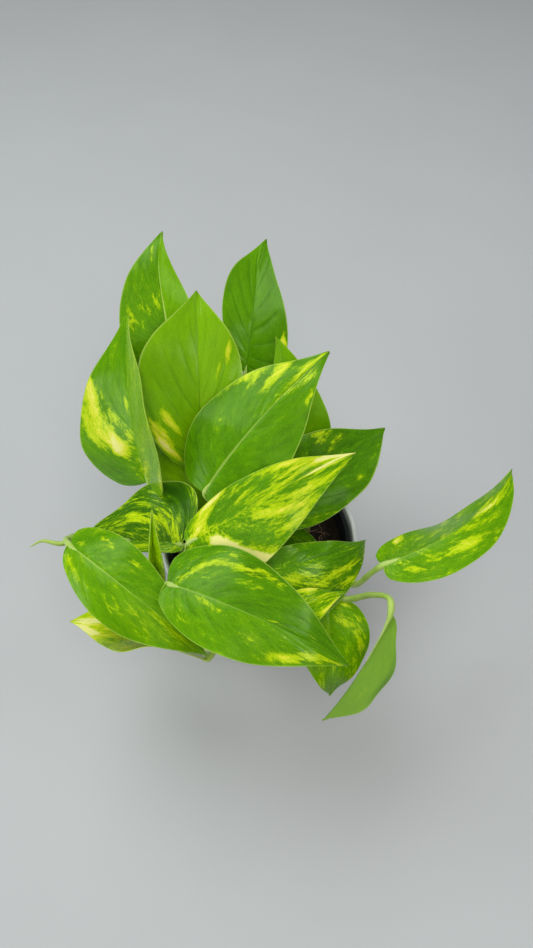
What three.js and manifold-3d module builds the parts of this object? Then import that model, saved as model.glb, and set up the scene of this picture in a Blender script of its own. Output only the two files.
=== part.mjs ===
// A young golden pothos in a plain white cover pot.
// Millimetres, +Z up, origin at the middle of the pot's underside, +Y away from the front.

import * as THREE from 'three';
import { mergeVertices } from 'three/addons/utils/BufferGeometryUtils.js';
import Module from 'manifold-3d';

// Pot
const potHeight = 100;
const potRimRadius = 60;
const potBaseRadius = 42;
const potWall = 2.8;
const potFloor = 4;
const rimRound = 1.4;
const potSides = 48;

// Black nursery pot that stands inside it
const linerRimRadius = 56;
const linerRimHeight = 98;
const linerTopRadius = 54;
const linerCollar = 5;
const linerBaseRadius = 37;
const linerWall = 0.9;
const linerLip = 2;
const drainHoles = 6;
const drainRadius = 4;
const drainRing = 26;
const drillSides = 12;

// Soil
const soilLevel = 87;
const soilLump = 2.2;
const soilRings = 7;
const soilSides = 36;
const holeClearance = 1;
const holeSides = 10;

// Clear space between one piece and the next
const gap = 0.35;

// Stems and leaf stalks
const stemRadius = 2.3;
const stemSides = 8;
const stemSteps = 14;
const stalkRadius = 1.45;
const stalkSides = 6;
const stalkSteps = 9;
const tipThickRadius = 1.3;
const tipThinRadius = 0.3;

// Leaf blades: rows run out along the side veins, columns lie on each side of the midrib
const bladeThickness = 0.8;
const bladeRows = [0, 0.1, 0.2, 0.31, 0.42, 0.53, 0.64, 0.75, 0.85, 0.93, 1];
const bladeColumns = 3;
const veinStart = 2.4;
const veinBend = 1.3;
const wavesPerBlade = 15;
const waveShift = 2.1;

const wasm = await Module();
wasm.setup();

const glazedWhite = new THREE.MeshStandardMaterial({ color: '#dfe4e4', roughness: 0.18, metalness: 0 });
const blackPlastic = new THREE.MeshStandardMaterial({ color: '#17191c', roughness: 0.45, metalness: 0 });
const darkSoil = new THREE.MeshStandardMaterial({ color: '#2a1f18', roughness: 0.95, metalness: 0 });
const greenStem = new THREE.MeshStandardMaterial({ color: '#8fae3c', roughness: 0.4, metalness: 0 });
const greenLeaf = new THREE.MeshStandardMaterial({ color: '#5f9a1e', roughness: 0.32, metalness: 0 });

const plant = new THREE.Group();

const radians = THREE.MathUtils.degToRad;
const point = (values) => new THREE.Vector3(...values);

// Solids: from a geometry, joined and cut, and back
function solidOf(geometry) {
  const bare = geometry.clone();
  bare.deleteAttribute('normal');
  bare.deleteAttribute('uv');
  const merged = mergeVertices(bare, 1e-4);
  return new wasm.Manifold(new wasm.Mesh({
    numProp: 3,
    vertProperties: new Float32Array(merged.attributes.position.array),
    triVerts: new Uint32Array(merged.index.array),
  }));
}

function geometryOf(solid) {
  const mesh = solid.getMesh();
  const geometry = new THREE.BufferGeometry();
  geometry.setAttribute('position', new THREE.BufferAttribute(new Float32Array(mesh.vertProperties), 3));
  geometry.setIndex([...mesh.triVerts]);
  geometry.computeVertexNormals();
  return geometry;
}

function addPiece(name, geometry, material) {
  const mesh = new THREE.Mesh(geometry, material);
  mesh.name = name;
  plant.add(mesh);
}

// A body turned about the Z axis from a profile of [radius, height] points
function turned(profile, sides) {
  const geometry = new THREE.LatheGeometry(profile.map(([r, z]) => new THREE.Vector2(r, z)), sides);
  geometry.rotateX(Math.PI / 2);
  return geometry;
}

// A round rod along a curve
function rod(curve, radius, sides, steps) {
  const section = new THREE.Shape();
  for (let i = 0; i < sides; i += 1) {
    const angle = (i / sides) * 2 * Math.PI;
    const place = [radius * Math.cos(angle), radius * Math.sin(angle)];
    if (i === 0) section.moveTo(...place);
    else section.lineTo(...place);
  }
  section.closePath();
  return new THREE.ExtrudeGeometry(section, { steps, extrudePath: curve, bevelEnabled: false });
}

// A slim cone that bends along a curve, thick end first
function spear(curve, thickRadius, thinRadius) {
  const cone = new THREE.CylinderGeometry(thinRadius, thickRadius, 1, stalkSides, 5);
  const place = cone.attributes.position;
  const across = new THREE.Vector3();
  const down = new THREE.Vector3();
  for (let i = 0; i < place.count; i += 1) {
    const t = place.getY(i) + 0.5;
    const ahead = curve.getTangent(t);
    across.set(0, 0, 1).cross(ahead).normalize();
    down.copy(across).cross(ahead);
    const moved = curve.getPoint(t);
    moved.addScaledVector(across, place.getX(i));
    moved.addScaledVector(down, place.getZ(i));
    place.setXYZ(i, moved.x, moved.y, moved.z);
  }
  return cone;
}

// Cover pot: flat base, straight tapered wall, rounded rim
function potProfile() {
  const slope = (potRimRadius - potBaseRadius) / potHeight;
  const innerBase = potBaseRadius + slope * potFloor - potWall;
  return [
    [0, 0],
    [potBaseRadius - rimRound, 0],
    [potBaseRadius, rimRound],
    [potRimRadius, potHeight - rimRound],
    [potRimRadius - 0.3 * rimRound, potHeight - 0.3 * rimRound],
    [potRimRadius - rimRound, potHeight],
    [potRimRadius - potWall + 0.3 * rimRound, potHeight - 0.3 * rimRound],
    [potRimRadius - potWall, potHeight - rimRound],
    [innerBase, potFloor + rimRound],
    [innerBase - rimRound, potFloor],
    [0, potFloor],
  ];
}

addPiece('pot', turned(potProfile(), potSides), glazedWhite);

// Nursery pot: thin tapered wall, a lip rolled outward at the rim, drain holes in its floor
const linerFoot = potFloor + gap;

function linerProfile() {
  return [
    [0, linerFoot],
    [linerBaseRadius, linerFoot],
    [linerTopRadius, linerRimHeight - linerCollar],
    [linerTopRadius, linerRimHeight - linerLip],
    [linerRimRadius, linerRimHeight - linerLip],
    [linerRimRadius, linerRimHeight],
    [linerTopRadius - linerWall, linerRimHeight],
    [linerTopRadius - linerWall, linerRimHeight - linerCollar],
    [linerBaseRadius - linerWall, linerFoot + linerWall],
    [0, linerFoot + linerWall],
  ];
}

function linerSolid() {
  let solid = solidOf(turned(linerProfile(), potSides));
  for (let i = 0; i < drainHoles; i += 1) {
    const angle = (i / drainHoles) * 2 * Math.PI;
    const drill = new THREE.CylinderGeometry(drainRadius, drainRadius, 2 * potFloor, drillSides);
    drill.rotateX(Math.PI / 2);
    drill.translate(drainRing * Math.cos(angle), drainRing * Math.sin(angle), linerFoot);
    solid = solid.subtract(solidOf(drill));
  }
  return solid;
}

addPiece('nursery_pot', geometryOf(linerSolid()), blackPlastic);

// Vines: each stem stands straight in its hole in the soil, then leans out over the rim
const vines = {
  vine_1: [[-30, -16, 66], [-30, -16, 80], [-30, -16, 92], [-38, -16, 106], [-58, -15, 115], [-84, -16, 122],
    [-108, -17, 128]],
  vine_2: [[-10, -30, 66], [-10, -30, 80], [-10, -30, 92], [-12, -38, 104], [-16, -50, 110], [-20, -60, 108]],
  vine_3: [[22, -22, 66], [22, -22, 80], [22, -22, 92], [26, -28, 100], [33, -36, 105], [41, -42, 108]],
  vine_4: [[30, 12, 66], [30, 12, 80], [30, 12, 92], [30, 18, 104], [24, 28, 112]],
  vine_5: [[-20, 16, 66], [-20, 16, 80], [-20, 16, 92], [-24, 22, 104], [-32, 30, 114], [-42, 40, 124]],
  vine_6: [[0, 2, 66], [0, 2, 80], [0, 2, 92], [-4, 2, 106], [-10, 4, 120]],
};

// The first vine ends in a young leaf, still rolled into a thin spear
const growingTip = [[-104, -18, 127], [-112, -21, 127], [-122, -21, 130], [-128, -25, 130]];

const stemCurves = {};
for (const [name, route] of Object.entries(vines)) {
  stemCurves[name] = new THREE.CatmullRomCurve3(route.map(point), false, 'centripetal');
  let stem = solidOf(rod(stemCurves[name], stemRadius, stemSides, stemSteps));
  if (name === 'vine_1') {
    const tipCurve = new THREE.CatmullRomCurve3(growingTip.map(point));
    stem = stem.add(solidOf(spear(tipCurve, tipThickRadius, tipThinRadius)));
  }
  addPiece(`${name}_stem`, geometryOf(stem), greenStem);
}

// Soil: fills the nursery pot, with a crumbly top and a plain hole round each stem
function soilHeight(x, y) {
  const coarse = Math.sin(x / 5.1 + 1.2) * Math.cos(y / 4.3 - 0.4);
  const fine = Math.sin((x + y) / 2.3) * Math.cos((x - 2 * y) / 3.1);
  return soilLevel + soilLump * (0.6 * coarse + 0.4 * fine);
}

function soilSolid() {
  const foot = linerFoot + linerWall + gap;
  const slope = (linerTopRadius - linerBaseRadius) / (linerRimHeight - linerCollar - linerFoot);
  const wallRadius = (z) => linerBaseRadius - linerWall - 2 * gap + slope * (z - linerFoot);
  const profile = [[0, foot], [wallRadius(foot), foot]];
  for (let i = 0; i <= soilRings; i += 1) {
    const radius = wallRadius(soilLevel) * (1 - i / soilRings);
    profile.push([radius, soilLevel]);
  }
  const geometry = turned(profile, soilSides);
  const place = geometry.attributes.position;
  for (let i = 0; i < place.count; i += 1) {
    const radius = Math.hypot(place.getX(i), place.getY(i));
    if (place.getZ(i) > soilLevel - 1 && radius < wallRadius(soilLevel) - 1) {
      place.setZ(i, soilHeight(place.getX(i), place.getY(i)));
    }
  }
  let solid = solidOf(geometry);
  const holeRadius = stemRadius + holeClearance;
  for (const [[x, y, bottom]] of Object.values(vines)) {
    const depth = potHeight - bottom + gap;
    const hole = new THREE.CylinderGeometry(holeRadius, holeRadius, depth, holeSides);
    hole.rotateX(Math.PI / 2);
    hole.translate(x, y, potHeight - depth / 2);
    solid = solid.subtract(solidOf(hole));
  }
  return solid;
}

addPiece('soil', geometryOf(soilSolid()), darkSoil);

// Half outline of a heart-shaped blade: along the midrib and out from it, in blade lengths
const outline = new THREE.SplineCurve([
  [0, 0], [-0.03, 0.08], [-0.03, 0.17], [0.04, 0.27], [0.19, 0.335], [0.38, 0.325], [0.57, 0.25], [0.76, 0.14],
  [0.91, 0.05], [1, 0],
].map(([along, out]) => new THREE.Vector2(along, out)));

const widest = 0.335;

// How far a bow has risen at s of its length: 1 at its highest point, which lies early or late
const earlyBow = (s) => 6.75 * s * (1 - s) * (1 - s);
const lateBow = (s) => 6.75 * s * s * (1 - s);

// Where a point of the flat blade lies in space: along the midrib, then out to its left (-1) or right (1).
// Each half leaves the midrib at its fold angle and turns on by its curl angle up to the edge.
function bladeSurface(blade) {
  const base = point(blade.base);
  const tip = point(blade.tip);
  const ahead = tip.clone().sub(base);
  const length = ahead.length();
  ahead.normalize();
  const up = new THREE.Vector3(0, 0, 1);
  up.addScaledVector(ahead, -up.dot(ahead)).normalize();
  up.applyAxisAngle(ahead, radians(blade.roll ?? 0));
  const right = ahead.clone().cross(up);
  const [earlyArch, lateArch] = blade.arch ?? [6, 4];
  const [earlySway, lateSway] = blade.sway ?? [0, 0];
  const fold = blade.fold ?? [12, 12];
  const curl = blade.curl ?? [-10, -10];
  const lobeCurl = blade.lobeCurl ?? [0, 0];
  const twist = blade.twist ?? 0;
  const wave = blade.wave ?? 1.2;

  function midrib(s) {
    const place = base.clone().addScaledVector(ahead, length * s);
    place.addScaledVector(up, earlyBow(s) * earlyArch + lateBow(s) * lateArch);
    return place.addScaledVector(right, earlyBow(s) * earlySway + lateBow(s) * lateSway);
  }

  return (along, out, side, share) => {
    const s = THREE.MathUtils.clamp(along, 0, 0.995);
    const here = midrib(s);
    const tangent = midrib(s + 0.004).sub(here).normalize();
    const across = right.clone().addScaledVector(tangent, -right.dot(tangent)).normalize();
    across.applyAxisAngle(tangent, radians(twist * s));
    const normal = across.clone().cross(tangent);
    const half = side < 0 ? 0 : 1;
    const lobe = Math.max(0, 1 - s / 0.5) ** 2;
    const start = radians(fold[half]);
    const turn = radians(curl[half] + lobeCurl[half] * lobe) / widest;
    const bent = start + turn * out;
    const flat = Math.abs(turn) < 1e-6;
    const sideways = flat ? out * Math.cos(start) : (Math.sin(bent) - Math.sin(start)) / turn;
    const lift = flat ? out * Math.sin(start) : (Math.cos(start) - Math.cos(bent)) / turn;
    const ripple = wave * Math.sin(wavesPerBlade * along + waveShift * side) * share * share;
    const place = here.addScaledVector(tangent, length * Math.min(0, along));
    place.addScaledVector(across, side * length * sideways);
    return place.addScaledVector(normal, length * lift + ripple);
  };
}

// Numbering of the blade's points: one at the base, full rows between, one at the tip
const lastRow = bladeRows.length - 1;
const rowLength = 2 * bladeColumns + 1;

function pointNumber(row, column) {
  if (row === 0) return 0;
  if (row === lastRow) return 1 + (lastRow - 1) * rowLength;
  return 1 + (row - 1) * rowLength + column;
}

function bladePoints(blade) {
  const surface = bladeSurface(blade);
  const wide = blade.wide ?? [1, 1];
  const slant = blade.slant ?? [0, 0];
  const points = [];
  bladeRows.forEach((t, row) => {
    const edge = outline.getPoint(t);
    const foot = t ** veinStart;
    for (let column = 0; column < rowLength; column += 1) {
      const side = column < bladeColumns ? -1 : 1;
      const half = side < 0 ? 0 : 1;
      const share = Math.abs(column - bladeColumns) / bladeColumns;
      const out = edge.y * share * wide[half];
      const reach = edge.x + slant[half] * edge.y * wide[half];
      const along = foot + (reach - foot) * share ** veinBend;
      points[pointNumber(row, column)] = surface(along, out, side, edge.y > 0 ? share : 0);
    }
  });
  return points;
}

// Triangles of one face; each square is split along its side vein
function bladeFaces() {
  const faces = [];
  for (let row = 0; row < lastRow; row += 1) {
    for (let column = 0; column < rowLength - 1; column += 1) {
      const a = pointNumber(row, column);
      const b = pointNumber(row, column + 1);
      const c = pointNumber(row + 1, column + 1);
      const d = pointNumber(row + 1, column);
      if (row === 0) faces.push([a, c, d]);
      else if (row === lastRow - 1) faces.push([a, b, c]);
      else if (column < bladeColumns) faces.push([a, b, d], [b, c, d]);
      else faces.push([a, b, c], [a, c, d]);
    }
  }
  return faces;
}

// Closed blade: an upper and a lower face split alike, with a narrow band round the edge
function bladeGeometry(blade) {
  const points = bladePoints(blade);
  const faces = bladeFaces();
  const middle = new THREE.BufferGeometry().setFromPoints(points);
  middle.setIndex(faces.flat());
  middle.computeVertexNormals();
  const upper = [];
  const lower = [];
  points.forEach((place, i) => {
    const offset = new THREE.Vector3().fromBufferAttribute(middle.attributes.normal, i);
    offset.multiplyScalar(bladeThickness / 2);
    upper.push(place.clone().add(offset));
    lower.push(place.clone().sub(offset));
  });
  const edge = [];
  for (let row = 0; row <= lastRow; row += 1) edge.push(pointNumber(row, 0));
  for (let row = lastRow - 1; row > 0; row -= 1) edge.push(pointNumber(row, rowLength - 1));
  const count = points.length;
  const index = faces.flat();
  for (const [a, b, c] of faces) index.push(count + c, count + b, count + a);
  edge.forEach((here, i) => {
    const next = edge[(i + 1) % edge.length];
    index.push(here, next, count + here);
    index.push(next, count + next, count + here);
  });
  const closed = new THREE.BufferGeometry().setFromPoints([...upper, ...lower]);
  closed.setIndex(index);
  return closed;
}

// A leaf: its stalk leaves the stem, rises to the blade and runs on under the midrib for a short way
function leafSolid(stemCurve, blade) {
  const surface = bladeSurface(blade);
  const underMidrib = (along, drop) => {
    const place = surface(along, 0, 1, 0);
    const ahead = surface(along + 0.02, 0, 1, 0).sub(place);
    const across = surface(along, 0.02, 1, 0).sub(place);
    return place.addScaledVector(ahead.cross(across).normalize(), drop);
  };
  const route = [
    stemCurve.getPointAt(blade.at),
    ...blade.stalk.map(point),
    underMidrib(0, 0.8),
    underMidrib(0.07, 1),
    underMidrib(0.16, 0.8),
  ];
  const stalkCurve = new THREE.CatmullRomCurve3(route, false, 'centripetal');
  const stalk = solidOf(rod(stalkCurve, stalkRadius, stalkSides, stalkSteps));
  const stemSpace = solidOf(rod(stemCurve, stemRadius + gap, stemSides, stemSteps));
  return solidOf(bladeGeometry(blade)).add(stalk).subtract(stemSpace);
}

// Leaves, in millimetres and degrees. Pairs are for the left and right half of the blade.
// at: place along the stem, from 0 to 1. stalk: points that the stalk passes. base, tip: ends of the midrib.
// arch, sway: how far the midrib bows up and to the right, early and late. wave: height of the edge's waves.
// roll: turn of the whole blade about its midrib. twist: further turn from base to tip.
// wide: width of each half. slant: how far each half is drawn towards the tip, as on a lopsided blade.
// fold, curl: angles of each half. lobeCurl: extra curl of the lobe beside the stalk.
const leaves = {
  vine_1: [
    // big leaf at the left, folding back over the rim
    { at: 0.92, stalk: [[-107, -22, 134]], base: [-103, -29, 140], tip: [-27, -81, 112], arch: [9, 7],
      roll: 12, wide: [0.64, 0.66], slant: [0, 0.8], fold: [0, 0], curl: [-30, -35] },
    // mottled leaf that points left
    { at: 0.4, stalk: [[-42, -22, 118]], base: [-43, -24, 131.5], tip: [-112, -8, 100], arch: [3, 1],
      wide: [0.27, 1.46], slant: [0.6, -0.16], fold: [0, 18], curl: [-25, -6] },
    // small young leaf, still folded
    { at: 0.58, stalk: [[-56, -32, 112]], base: [-57, -40, 119], tip: [-56, -20, 162], arch: [2, 2],
      wide: [0.34, 0.6], fold: [70, 45], curl: [0, 0], wave: 0 },
  ],
  vine_2: [
    // big front leaf
    { at: 0.6, stalk: [[-33, -55, 136]], base: [-46, -58, 152], tip: [47, -92, 126], arch: [9, 8],
      roll: 10, wide: [0.88, 0.68], slant: [0, 0.4], fold: [0, 0], curl: [-20, -20] },
    // low leaf under it that points left
    { at: 0.95, stalk: [[-22, -68, 104]], base: [-28, -77, 98], tip: [-112, -50, 86], arch: [4, 4],
      roll: 66, twist: -80, wide: [0.9, 0.7], slant: [0.3, 0.4], fold: [0, 0], curl: [20, -10] },
    // cream splashed leaf across the middle
    { at: 0.5, stalk: [[-28, -34, 128]], base: [-38, -32, 146.5], tip: [55.5, 22, 155.5], arch: [6, 4],
      sway: [1, -1], roll: 20, wide: [0.45, 0.84], slant: [0.8, -0.4], fold: [0, 0],
      curl: [-10, -25] },
  ],
  vine_3: [
    // leaf that points right from the middle
    { at: 0.5, stalk: [[8, -40, 118]], base: [-2, -48, 135.5], tip: [63, -12, 116], sway: [-0.8, 2.1],
      roll: 22, wide: [0.42, 1.24], slant: [0, 0.27], fold: [0, 0], curl: [-10, -30] },
    // low yellow leaf under it
    { at: 0.4, stalk: [[6, -58, 118]], base: [-5, -80, 130], tip: [48, -49, 124], wide: [0.6, 0.7] },
    // leaf that hangs down in front
    { at: 0.68, stalk: [[38, -46, 107]], base: [39, -51, 110], tip: [41, -88, 66],
      wide: [1.12, 0.95] },
    // long leaf far to the right
    { at: 0.85, stalk: [[46, -36, 110], [54, -40, 113.5], [61, -43, 134]], base: [66, -45, 148],
      tip: [144, 15, 150], sway: [7, 7], wide: [0.66, 0.56], slant: [0, 0.4], fold: [-45, 0],
      curl: [-10, -20], lobeCurl: [50, 0] },
    // folded leaf that hangs at the right
    { at: 0.98, stalk: [[48, -48, 112], [61, -54, 130], [67.5, -64, 145]], base: [67, -71, 144],
      tip: [35, -108.3, 88.2], arch: [1.2, 0.8], sway: [1.2, 1.7], roll: -130, wide: [0.91, 0.63],
      slant: [2.8, 1.4], fold: [46, 81], curl: [-1, -2] },
  ],
  vine_4: [
    // dark leaf at the right
    { at: 0.5, stalk: [[22, 4, 112]], base: [8, -4, 121.5], tip: [80, 64, 125.5], wide: [1, 0.81],
      slant: [0, 0.53] },
    // dull leaf behind the central one
    { at: 0.8, stalk: [[20, 34, 108]], base: [15, 41, 112], tip: [10, 99, 171.5], arch: [1, 3],
      sway: [0, 3], wide: [0.55, 1.06] },
  ],
  vine_5: [
    // back left leaf
    { at: 0.95, stalk: [[-52, 66, 140]], base: [-58, 84, 150], tip: [-61, 163, 200], sway: [4, -4],
      wide: [0.9, 0.6], slant: [0.29, -0.1] },
    // left leaf
    { at: 0.5, stalk: [[-56, 14, 112]], base: [-66, 18, 131.5], tip: [-78, 99, 190], roll: -30,
      wide: [1.25, 0.84], slant: [0.15, -0.18], fold: [0, 32], curl: [-10, 10] },
    // big upright leaf
    { at: 0.8, stalk: [[-32, 30, 118]], base: [-34, 29, 126], tip: [-37, 111, 197], wide: [0.98, 0.71],
      slant: [0.7, 1.1], fold: [18, 0], curl: [0, -30] },
    // dull leaf low between them
    { at: 0.4, stalk: [[-28, 10, 104]], base: [-33, 9, 106], tip: [-66, 52, 130], wide: [0.85, 0.55] },
    // upright leaf at the back right
    { at: 0.9, stalk: [[-16, 72, 136]], base: [-9, 89, 150], tip: [4.5, 174, 186], sway: [1.2, -1.5],
      wide: [0.64, 0.78], slant: [0.88, -0.43], fold: [15, 10], curl: [10, 0], lobeCurl: [110, 0] },
    // low leaf at the back left
    { at: 0.7, stalk: [[-38, 50, 119]], base: [-46, 74, 130], tip: [-105, 123, 117], wide: [0.75, 1] },
  ],
  vine_6: [
    // central leaf that points up and right
    { at: 0.9, stalk: [[-22, 2, 130]], base: [-31, 3, 143], tip: [41, 74, 184], wide: [0.88, 0.85],
      slant: [0.3, 0], fold: [10, -8], curl: [-20, -30] },
    // low inner leaf
    { at: 0.5, stalk: [[0, 4, 104]], base: [4, 4, 102], tip: [43, -18, 98], arch: [3, 2],
      wide: [0.7, 0.7] },
  ],
};

for (const [vine, blades] of Object.entries(leaves)) {
  blades.forEach((blade, i) => {
    addPiece(`${vine}_leaf_${i + 1}`, geometryOf(leafSolid(stemCurves[vine], blade)), greenLeaf);
  });
}

export default plant;
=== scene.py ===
import math
import random

import bmesh
import bpy
from mathutils import Matrix, Vector, noise


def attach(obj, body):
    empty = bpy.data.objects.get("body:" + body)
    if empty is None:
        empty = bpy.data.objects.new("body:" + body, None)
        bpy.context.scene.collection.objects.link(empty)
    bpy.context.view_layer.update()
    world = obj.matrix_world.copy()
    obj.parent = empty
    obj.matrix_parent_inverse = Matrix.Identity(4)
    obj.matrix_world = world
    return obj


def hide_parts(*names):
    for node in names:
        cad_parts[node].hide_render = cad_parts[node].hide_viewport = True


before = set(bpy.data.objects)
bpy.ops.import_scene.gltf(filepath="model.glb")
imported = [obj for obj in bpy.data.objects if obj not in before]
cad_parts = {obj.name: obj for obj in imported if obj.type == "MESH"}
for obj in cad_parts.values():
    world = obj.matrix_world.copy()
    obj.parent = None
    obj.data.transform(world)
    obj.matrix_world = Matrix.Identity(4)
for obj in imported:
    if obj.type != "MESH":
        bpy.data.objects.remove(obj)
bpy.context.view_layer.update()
print("frame loaded:", len(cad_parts), "nodes")

mm = 0.001

# Modelling helpers

def clearSelection():
    bpy.ops.object.select_all(action="DESELECT")


def pickOnly(piece):
    clearSelection()
    piece.select_set(True)
    bpy.context.view_layer.objects.active = piece


def editAll(piece):
    pickOnly(piece)
    bpy.ops.object.mode_set(mode="EDIT")
    bpy.ops.mesh.select_all(action="SELECT")


def leaveEdit():
    bpy.ops.object.mode_set(mode="OBJECT")


def nameNew(name):
    # the object that an operator has just added
    piece = bpy.context.object
    piece.name = name
    piece.data.name = name
    return piece


def applyModifier(piece, kind, **values):
    pickOnly(piece)
    modifier = piece.modifiers.new(kind.lower(), kind)
    for name, value in values.items():
        setattr(modifier, name, value)
    bpy.ops.object.modifier_apply(modifier=modifier.name)


def joinPieces(name, parts):
    clearSelection()
    for part in parts:
        part.select_set(True)
    bpy.context.view_layer.objects.active = parts[0]
    bpy.ops.object.join()
    parts[0].name = name
    parts[0].data.name = name
    return parts[0]


def placePiece(piece, node):
    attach(piece, "root")
    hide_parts(node)


def smoothStep(low, high, value):
    share = min(1, max(0, (value - low) / (high - low)))
    return share * share * (3 - 2 * share)


# Camera at the photograph's place: it looks steeply down on the plant
photoView = {"place": (4.4, -219.7, 479.5), "lookDown": 55, "focal": 712, "longSide": 948}


def makeCamera():
    place = Vector(photoView["place"]) * mm
    turn = (math.radians(90 - photoView["lookDown"]), 0, 0)
    clearSelection()
    bpy.ops.object.camera_add(location=place, rotation=turn)
    camera = nameNew("photo_camera")
    camera.data.sensor_width = 36
    camera.data.lens = 36 * photoView["focal"] / photoView["longSide"]
    camera.data.clip_start = 0.01
    bpy.context.scene.camera = camera


makeCamera()
print("camera placed")


# Routes: a smooth curve through a few points, evenly spaced along its length

def throughPoints(points, samplesEach=24):
    first = points[0] * 2 - points[1]
    last = points[-1] * 2 - points[-2]
    padded = [first, *points, last]
    samples = []
    for i in range(len(points) - 1):
        a, b, c, d = padded[i:i + 4]
        ab = math.sqrt((b - a).length)
        bc = math.sqrt((c - b).length)
        cd = math.sqrt((d - c).length)
        leave = ((b - a) / ab - (c - a) / (ab + bc) + (c - b) / bc) * bc
        arrive = ((c - b) / bc - (d - b) / (bc + cd) + (d - c) / cd) * bc
        for k in range(samplesEach):
            t = k / samplesEach
            cubic = (b - c) * 2 + leave + arrive
            square = (c - b) * 3 - leave * 2 - arrive
            samples.append(cubic * t ** 3 + square * t ** 2 + leave * t + b)
    samples.append(points[-1].copy())
    return samples


class Route:
    def __init__(self, points):
        self.samples = throughPoints([Vector(p) for p in points])
        self.lengths = [0]
        for a, b in zip(self.samples, self.samples[1:]):
            self.lengths.append(self.lengths[-1] + (b - a).length)
        self.length = self.lengths[-1]

    def at(self, share):
        wanted = min(1, max(0, share)) * self.length
        i = 1
        while i < len(self.lengths) - 1 and self.lengths[i] < wanted:
            i += 1
        span = self.lengths[i] - self.lengths[i - 1]
        return self.samples[i - 1].lerp(self.samples[i], (wanted - self.lengths[i - 1]) / span)

    def direction(self, share):
        return (self.at(min(1, share + 0.01)) - self.at(max(0, share - 0.01))).normalized()


def makeTube(name, route, steps, sides, radiusAt, upward=Vector((0, -1, 0.2))):
    # a cylinder, cut into rings, is laid along the route; radiusAt(share, angle) gives its section
    clearSelection()
    bpy.ops.mesh.primitive_cylinder_add(vertices=sides, radius=1, depth=1, end_fill_type="TRIFAN")
    tube = nameNew(name)
    bpy.ops.object.mode_set(mode="EDIT")
    mesh = bmesh.from_edit_mesh(tube.data)
    for edge in mesh.edges:
        edge.select = abs(edge.verts[0].co.z - edge.verts[1].co.z) > 0.5
    bmesh.update_edit_mesh(tube.data)
    bpy.ops.mesh.subdivide(number_cuts=steps - 1)
    leaveEdit()
    rings = []
    up = upward.copy()
    for k in range(steps + 1):
        share = k / steps
        ahead = route.direction(share)
        up = (up - ahead * up.dot(ahead)).normalized()
        rings.append((route.at(share), up.cross(ahead), up.copy()))
    for vertex in tube.data.vertices:
        k = round((vertex.co.z + 0.5) * steps)
        centre, side, up = rings[k]
        angle = math.atan2(vertex.co.y, vertex.co.x)
        reach = min(1, math.hypot(vertex.co.x, vertex.co.y))
        radius = radiusAt(k / steps, angle) * reach
        vertex.co = centre + side * (radius * math.cos(angle)) + up * (radius * math.sin(angle))
    pickOnly(tube)
    bpy.ops.object.shade_smooth()
    return tube


# Materials

def newMaterial(name):
    material = bpy.data.materials.new(name)
    material.use_nodes = True
    material.node_tree.nodes.clear()
    tree = material.node_tree
    output = tree.nodes.new("ShaderNodeOutputMaterial")
    shader = tree.nodes.new("ShaderNodeBsdfPrincipled")
    tree.links.new(shader.outputs["BSDF"], output.inputs["Surface"])
    return material, tree, shader


def fillSockets(tree, node, values):
    # values are numbers, colours or the sockets to link from, by the place or name of the input
    for key, value in values.items():
        if isinstance(value, bpy.types.NodeSocket):
            tree.links.new(value, node.inputs[key])
        else:
            node.inputs[key].default_value = value


def addNode(tree, kind, settings=None, **inputs):
    node = tree.nodes.new(kind)
    for name, value in (settings or {}).items():
        setattr(node, name, value)
    fillSockets(tree, node, inputs)
    return node


def mathNode(tree, operation, *values, clamp=False):
    node = addNode(tree, "ShaderNodeMath", {"operation": operation, "use_clamp": clamp})
    fillSockets(tree, node, dict(enumerate(values)))
    return node.outputs[0]


def mixColour(tree, share, a, b, blend="MIX"):
    node = tree.nodes.new("ShaderNodeMix")
    node.data_type = "RGBA"
    node.blend_type = blend
    node.clamp_factor = True
    fillSockets(tree, node, {0: share, 6: a, 7: b})
    return node.outputs[2]


def stepNode(tree, value, low, high):
    node = addNode(tree, "ShaderNodeMapRange", {"interpolation_type": "SMOOTHSTEP"})
    fillSockets(tree, node, {0: value, 1: low, 2: high})
    return node.outputs[0]


def noiseNode(tree, vector, scale, detail=2.0, rough=0.5, distortion=0.0):
    node = addNode(tree, "ShaderNodeTexNoise", Vector=vector, Scale=scale, Detail=detail,
                   Roughness=rough, Distortion=distortion)
    return node.outputs["Fac"]


def newGroup(name, inputs, outputs):
    group = bpy.data.node_groups.new(name, "ShaderNodeTree")
    for socketName, kind in inputs:
        group.interface.new_socket(name=socketName, in_out="INPUT", socket_type="NodeSocket" + kind)
    for socketName, kind in outputs:
        group.interface.new_socket(name=socketName, in_out="OUTPUT", socket_type="NodeSocket" + kind)
    entry = group.nodes.new("NodeGroupInput")
    out = group.nodes.new("NodeGroupOutput")
    return group, entry.outputs, out.inputs


# Leaf colours, as light reaches them: greens from deep to light, then chartreuse, yellow and cream
leafColours = {
    "deep": (0.028, 0.1, 0.003, 1),
    "middle": (0.09, 0.262, 0.001, 1),
    "light": (0.19, 0.41, 0.001, 1),
    "chartreuse": (0.44, 0.61, 0.002, 1),
    "yellow": (0.72, 0.72, 0.04, 1),
    "cream": (0.82, 0.79, 0.25, 1),
    "rib": (0.4, 0.55, 0.1, 1),
    "margin": (0.42, 0.58, 0.08, 1),
    "underTint": (0.24, 0.4, 0.09, 1),
    "veinShade": (0.62, 0.72, 0.6, 1),
}
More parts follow.
